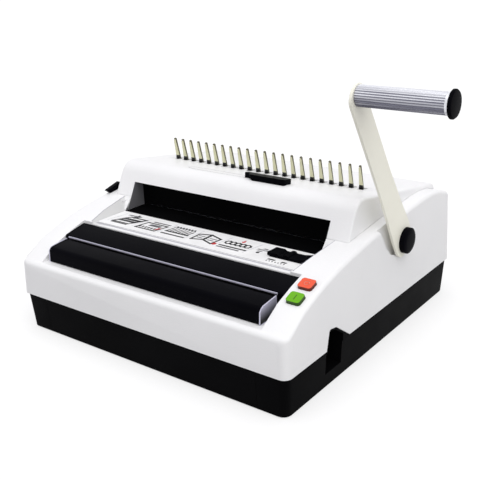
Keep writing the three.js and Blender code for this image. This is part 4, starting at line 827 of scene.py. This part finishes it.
def shifted(outline, x, y):
    """An outline moved on its plane."""
    return [(px + x, py + y) for px, py in outline]


def sheets_motif():
    """Loose sheets squared up into a stack."""
    sheet = plate(-15, -10, 9, -3, 5)
    table = plate(-15, -13.5, 9, -11.5)
    top_line = plate(-12, 10, 6, 12, 2)
    lean, rise = 3, 5
    black = []
    for step in range(3):
        black += stroke(loop(shifted(sheet, lean * step, rise * step)), SHEET_LINE)
    return {"ink_black": [*black, table], "ink_grey": [arrow(2, 4, 11, -90), top_line]}


def holes_motif():
    """A sheet with its row of holes, pushed against a stop."""
    sheet = plate(-16, -12, 12, 4, 4)
    hole = plate(-14, -9.5, -11.6, -6)
    stop = plate(-8, 7, 16, 9, 1)
    writing = plate(-6, -3, 10, 1.5, 1.5)
    pitch = 4.2
    holes = [shifted(hole, pitch * step, 0) for step in range(6)]
    return {
        "ink_black": stroke(loop(sheet), PLAIN_LINE) + holes,
        "ink_grey": [stop, writing],
        "ink_red": [arrow(15, -3, 9, 40)],
    }


def comb_motif():
    """An open comb over the fingers."""
    spine = plate(-17, -6, 15, -3.6, 0.6)
    finger = plate(-16, -3.6, -14.4, 5, 2.0)
    tooth = [(-14, 7), (-12, 10), (-10, 7)]
    table = [(-16, -11), (14, -11)]
    pitch = 4
    fingers = [shifted(finger, pitch * step, 0) for step in range(8)]
    teeth = []
    for step in range(7):
        teeth += stroke(shifted(tooth, pitch * step, 0), LIGHT_LINE)
    return {"ink_black": [spine, *fingers, *stroke(table, HEAVY_LINE)], "ink_grey": teeth}


def book_motif():
    """A bound book half open, with a mark at its spine."""
    left = [(-15, -9), (-2, -5), (-2, 9), (-15, 5)]
    right = [(-2, -5), (12, -10), (14, 4), (-2, 9)]
    ring = plate(-3.4, -6, 0.6, -4.4)
    writing = [(2, -4, 10, -2.6, 0.4), (2, 0, 11, 1.4, 0.4), (-13, -3, -5, -1.6, 0.4), (-13, 1, -5, 2.4, 0.4)]
    pitch = 3.4
    rings = [shifted(ring, 0, pitch * step) for step in range(5)]
    return {
        "ink_black": stroke(loop(left), SHEET_LINE) + stroke(right, SHEET_LINE) + rings,
        "ink_grey": [plate(*line) for line in writing],
        "ink_red": [disc(15, -8, 2.6)],
    }


def loops_motif():
    """A wire spine pressed round."""
    coil = disc(-12, 2, 3.4, sides=8)
    table = [(-16, -7), (16, -7)]
    writing = [(-16, -11), (10, -11)]
    pitch = 6
    coils = []
    for step in range(5):
        coils += stroke(loop(shifted(coil, pitch * step, 0)), COIL_LINE)
    return {
        "ink_black": coils + stroke(table, HEAVY_LINE),
        "ink_grey": stroke(writing, PLAIN_LINE),
        "ink_red": [arrow(1, 7, 6.5, -90)],
    }


def grown(outlines, x, y):
    """A panel's outlines, drawn round its middle, at their full size on the strip."""
    return [
        [(x + px * PANEL_WIDTH_SHARE, y + py * PANEL_DEPTH_SHARE) for px, py in outline]
        for outline in outlines
    ]


def print_label(materials):
    """Panels of plain motifs, the lines between them, and the marks round the edge guide."""
    label = Matrix.Translation((0, 0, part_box("label_strip")[1][2]))
    prints = {}
    motifs = [sheets_motif, holes_motif, comb_motif, book_motif, loops_motif]
    for index, motif in enumerate(motifs):
        for ink, outlines in motif().items():
            x = PANEL_FIRST_X + index * PANEL_STEP
            prints[f"panel_{index + 1}_{ink}"] = (grown(outlines, x, PANEL_Y), ink)
    lines = []
    for index in range(len(motifs) + 1):
        x = PANEL_FIRST_X + (index - 0.5) * PANEL_STEP
        lines += stroke(shifted(PANEL_LINE, x, PANEL_Y), PANEL_LINE_WIDTH)
    prints["panel_lines"] = (lines, "ink_pale")
    ticks = [shifted(plate(*GUIDE_TICK), GUIDE_TICK_STEP * step, 0) for step in range(GUIDE_TICKS)]
    bars = [plate(*bar) for bar in GUIDE_BARS]
    prints["guide_marks"] = ([disc(*GUIDE_DOT), *bars, *ticks], "ink_black")
    prints["guide_dashes"] = ([plate(*dash) for dash in GUIDE_DASHES], "ink_grey")
    for name, (outlines, ink) in prints.items():
        new_piece(name, flat_shapes(outlines, label), materials[ink], "machine")


def draw_grooves(materials):
    """Shallow lines of the moulding: in front of the label, and round the gauge's track on the hood."""
    low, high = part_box("label_strip")
    groove = plate(
        (low[0] + TABLE_GROOVE_INSET) / MM, (low[1] - TABLE_GROOVE_FAR) / MM,
        (high[0] - TABLE_GROOVE_INSET) / MM, (low[1] - TABLE_GROOVE_NEAR) / MM,
    )
    table = Matrix.Translation((0, 0, low[2] - TABLE_GROOVE_DROP))
    new_piece("table_groove", flat_shapes([groove], table), materials["groove"], "machine")
    turn = Matrix.Rotation(-math.atan(HOOD_SLOPE), 4, "X")
    hood_top = Matrix.Translation((0, 0, HOOD_TOP_AT_ZERO)) @ turn
    mesh = flat_shapes(stroke(GAUGE_GROOVE, GAUGE_GROOVE_WIDTH), hood_top)
    new_piece("gauge_groove", mesh, materials["groove_pale"], "machine")


def fill_posts(materials):
    """A wedge of the shell on each side, between the leaning cheek and the end of the throat."""
    top = POST_TOP_Z - THIN
    for side, name in SIDES:
        rings = []
        for foot_y, top_y in ((POST_FOOT_Y, POST_TOP_Y), (POST_REAR, POST_REAR)):
            rings.append([
                (side * CHEEK_WALL, foot_y, TABLE_TOP),
                (side * leaning_x(POST_TOP_Z), top_y, top),
                (side * CHEEK_WALL, top_y, top),
            ])
        new_piece(f"post_{name}", solid_between(rings), materials["white_shell"], "machine")


def line_throat_ends(materials):
    """Dark grey plates on the throat's end walls, behind the hood's white posts: painted shade on the white
    shell there.
    """
    for side, name in SIDES:
        inner = side * CHEEK_WALL / MM
        mesh = prism(THROAT_END, inner, inner - side * THROAT_END_THICKNESS)
        new_piece(f"throat_end_{name}", mesh, materials["throat_end"], "machine")


def edge_cheeks(materials):
    """A hairline along the upper edge of each cheek's inner wall."""
    section = plate(-HAIRLINE_HALF, -HAIRLINE_DEPTH, HAIRLINE_HALF, HAIRLINE_RISE)
    for side, name in SIDES:
        for index, ends in enumerate(zip(CHEEK_EDGE, CHEEK_EDGE[1:])):
            rings = [
                [(side * leaning_x(z * MM) + dx * MM, y * MM, (z + dz) * MM) for dx, dz in section]
                for y, z in ends
            ]
            mesh = solid_between(rings)
            new_piece(f"cheek_edge_{name}_{index + 1}", mesh, materials["groove"], "machine")


def cap_bar_ends(materials):
    """Thin steel plates with raised rims on the closer bar's ends, a little proud of its top and front."""
    low, high = [[value / MM for value in corner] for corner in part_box("closer_bar")]
    front, rear, top = low[1] - BAR_END_PROUD, high[1], high[2] + BAR_END_PROUD
    outline = [
        (front, low[2] + BAR_END_CORNER), (front + BAR_END_CORNER, low[2]), (rear, low[2]), (rear, top),
        *[(front + back, top - down) for back, down in BAR_END_NOSE],
    ]
    for side, name in SIDES:
        x = high[0] if side > 0 else low[0]
        inner = x + side * BAR_END_INNER
        mesh = prism(outline, inner, x + side * BAR_END_OUTER)
        new_piece(f"bar_end_{name}", mesh, materials["bar_end"], "closer")
        for index, part in enumerate(stroke(loop(outline), BAR_RIM_WIDTH)):
            mesh = prism(part, inner, x + side * BAR_RIM_OUTER)
            new_piece(f"bar_rim_{name}_{index + 1}", mesh, materials["bar_rim"], "closer")


def mark_keys(materials):
    """A plain bar on the green key and a plain ring on the red one."""
    bar = stroke([(0, -KEY_BAR_HALF), (0, KEY_BAR_HALF)], KEY_BAR_WIDTH)
    ring = stroke(loop(disc(0, 0, KEY_RING_RADIUS)), KEY_RING_WIDTH)
    marks = {
        "green_button": (bar, GREEN_KEY_TILT, "key_mark_green", "green_key", "green_plastic"),
        "red_button": (ring, RED_KEY_TILT, "key_mark_red", "red_key", "red_plastic"),
    }
    for node, (outlines, tilt, look, body, slot) in marks.items():
        low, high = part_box(node)
        middle = (
            (low[0] + high[0]) / 2,
            low[1] + KEY_HALF_DEPTH * math.cos(tilt),
            high[2] - KEY_HALF_DEPTH * math.sin(tilt),
        )
        place = Matrix.Translation(middle) @ Matrix.Rotation(tilt, 4, "X")
        new_piece(look, flat_shapes(outlines, place), materials[look], body)


def seen_directly(tree):
    """One where the camera, a reflection or a refraction sees it, and zero for the light that it gives."""
    path = tree.nodes.new("ShaderNodeLightPath")
    seen = path.outputs["Is Camera Ray"]
    for ray in ("Is Glossy Ray", "Is Transmission Ray"):
        seen = calculate(tree, "MAXIMUM", seen, path.outputs[ray])
    return seen


def make_floor():
    """A plain pale floor that keeps the object's shadow."""
    bpy.ops.mesh.primitive_plane_add(size=FLOOR_SIZE)
    floor = bpy.context.object
    floor.name = "floor"
    material, tree, surface = shader("floor_pale", FLOOR_COLOUR, FLOOR_ROUGHNESS)
    surface.inputs["Specular IOR Level"].default_value = 0.0
    surface.inputs["Emission Color"].default_value = (*WHITE, 1)
    lift = calculate(tree, "MULTIPLY", seen_directly(tree), FLOOR_LIFT)
    tree.links.new(lift, surface.inputs["Emission Strength"])
    floor.data.materials.append(material)


def make_world():
    """Soft, slightly cool light from all round, and a white backdrop."""
    world = bpy.data.worlds.new("studio")
    world.use_nodes = True
    bpy.context.scene.world = world
    tree = world.node_tree
    background = tree.nodes["Background"]
    seen = seen_directly(tree)
    blend_colours(tree, background.inputs["Color"], seen, WORLD_COLOUR, WHITE)
    strength = mapped(tree, seen, target=(WORLD_STRENGTH, 1))
    tree.links.new(strength, background.inputs["Strength"])


def soft_sun(name, direction, strength, colour=WHITE):
    """A broad, distant lamp."""
    data = bpy.data.lights.new(name, "SUN")
    data.angle = LAMP_ANGLE
    data.energy = strength
    data.color = colour
    lamp = bpy.data.objects.new(name, data)
    lamp.rotation_euler = Vector(direction).to_track_quat("Z", "Y").to_euler()
    bpy.context.scene.collection.objects.link(lamp)


def make_camera():
    """The camera at the photograph's place, turned by its azimuth, elevation and roll."""
    back = Vector((
        math.sin(CAMERA_AZIMUTH) * math.cos(CAMERA_ELEVATION),
        -math.cos(CAMERA_AZIMUTH) * math.cos(CAMERA_ELEVATION),
        math.sin(CAMERA_ELEVATION),
    ))
    right = Vector((math.cos(CAMERA_AZIMUTH), math.sin(CAMERA_AZIMUTH), 0))
    up = back.cross(right)
    roll = Matrix.Rotation(CAMERA_ROLL, 3, back)
    matrix = Matrix((roll @ right, roll @ up, back)).transposed().to_4x4()
    matrix.translation = CAMERA_PLACE
    data = bpy.data.cameras.new("camera")
    data.lens = CAMERA_LENS
    data.sensor_width = SENSOR_WIDTH
    data.clip_start = CAMERA_NEAR
    camera = bpy.data.objects.new("camera", data)
    camera.matrix_world = matrix
    bpy.context.scene.collection.objects.link(camera)
    bpy.context.scene.camera = camera


def clear_scene():
    """An empty scene to start from."""
    for item in list(bpy.data.objects):
        bpy.data.objects.remove(item)


clear_scene()
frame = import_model()
nodes = frame["nodes"]
bpy.context.scene.view_settings.view_transform = "Standard"
materials = {**plastic_materials(), **metal_materials(), **print_materials()}
smooth = smoothing_nodes()
dress_nodes(nodes, materials, smooth)
thin_lever(nodes, smooth)
lean_cheeks(nodes, materials, smooth)
shape_gauge(nodes, smooth)
shape_guide(nodes, smooth)
fill_posts(materials)
print_label(materials)
draw_grooves(materials)
line_throat_ends(materials)
edge_cheeks(materials)
cap_bar_ends(materials)
mark_keys(materials)
make_floor()
make_world()
soft_sun("key", KEY_DIRECTION, KEY_STRENGTH)
soft_sun("fill", FILL_DIRECTION, FILL_STRENGTH, FILL_COLOUR)
make_camera()
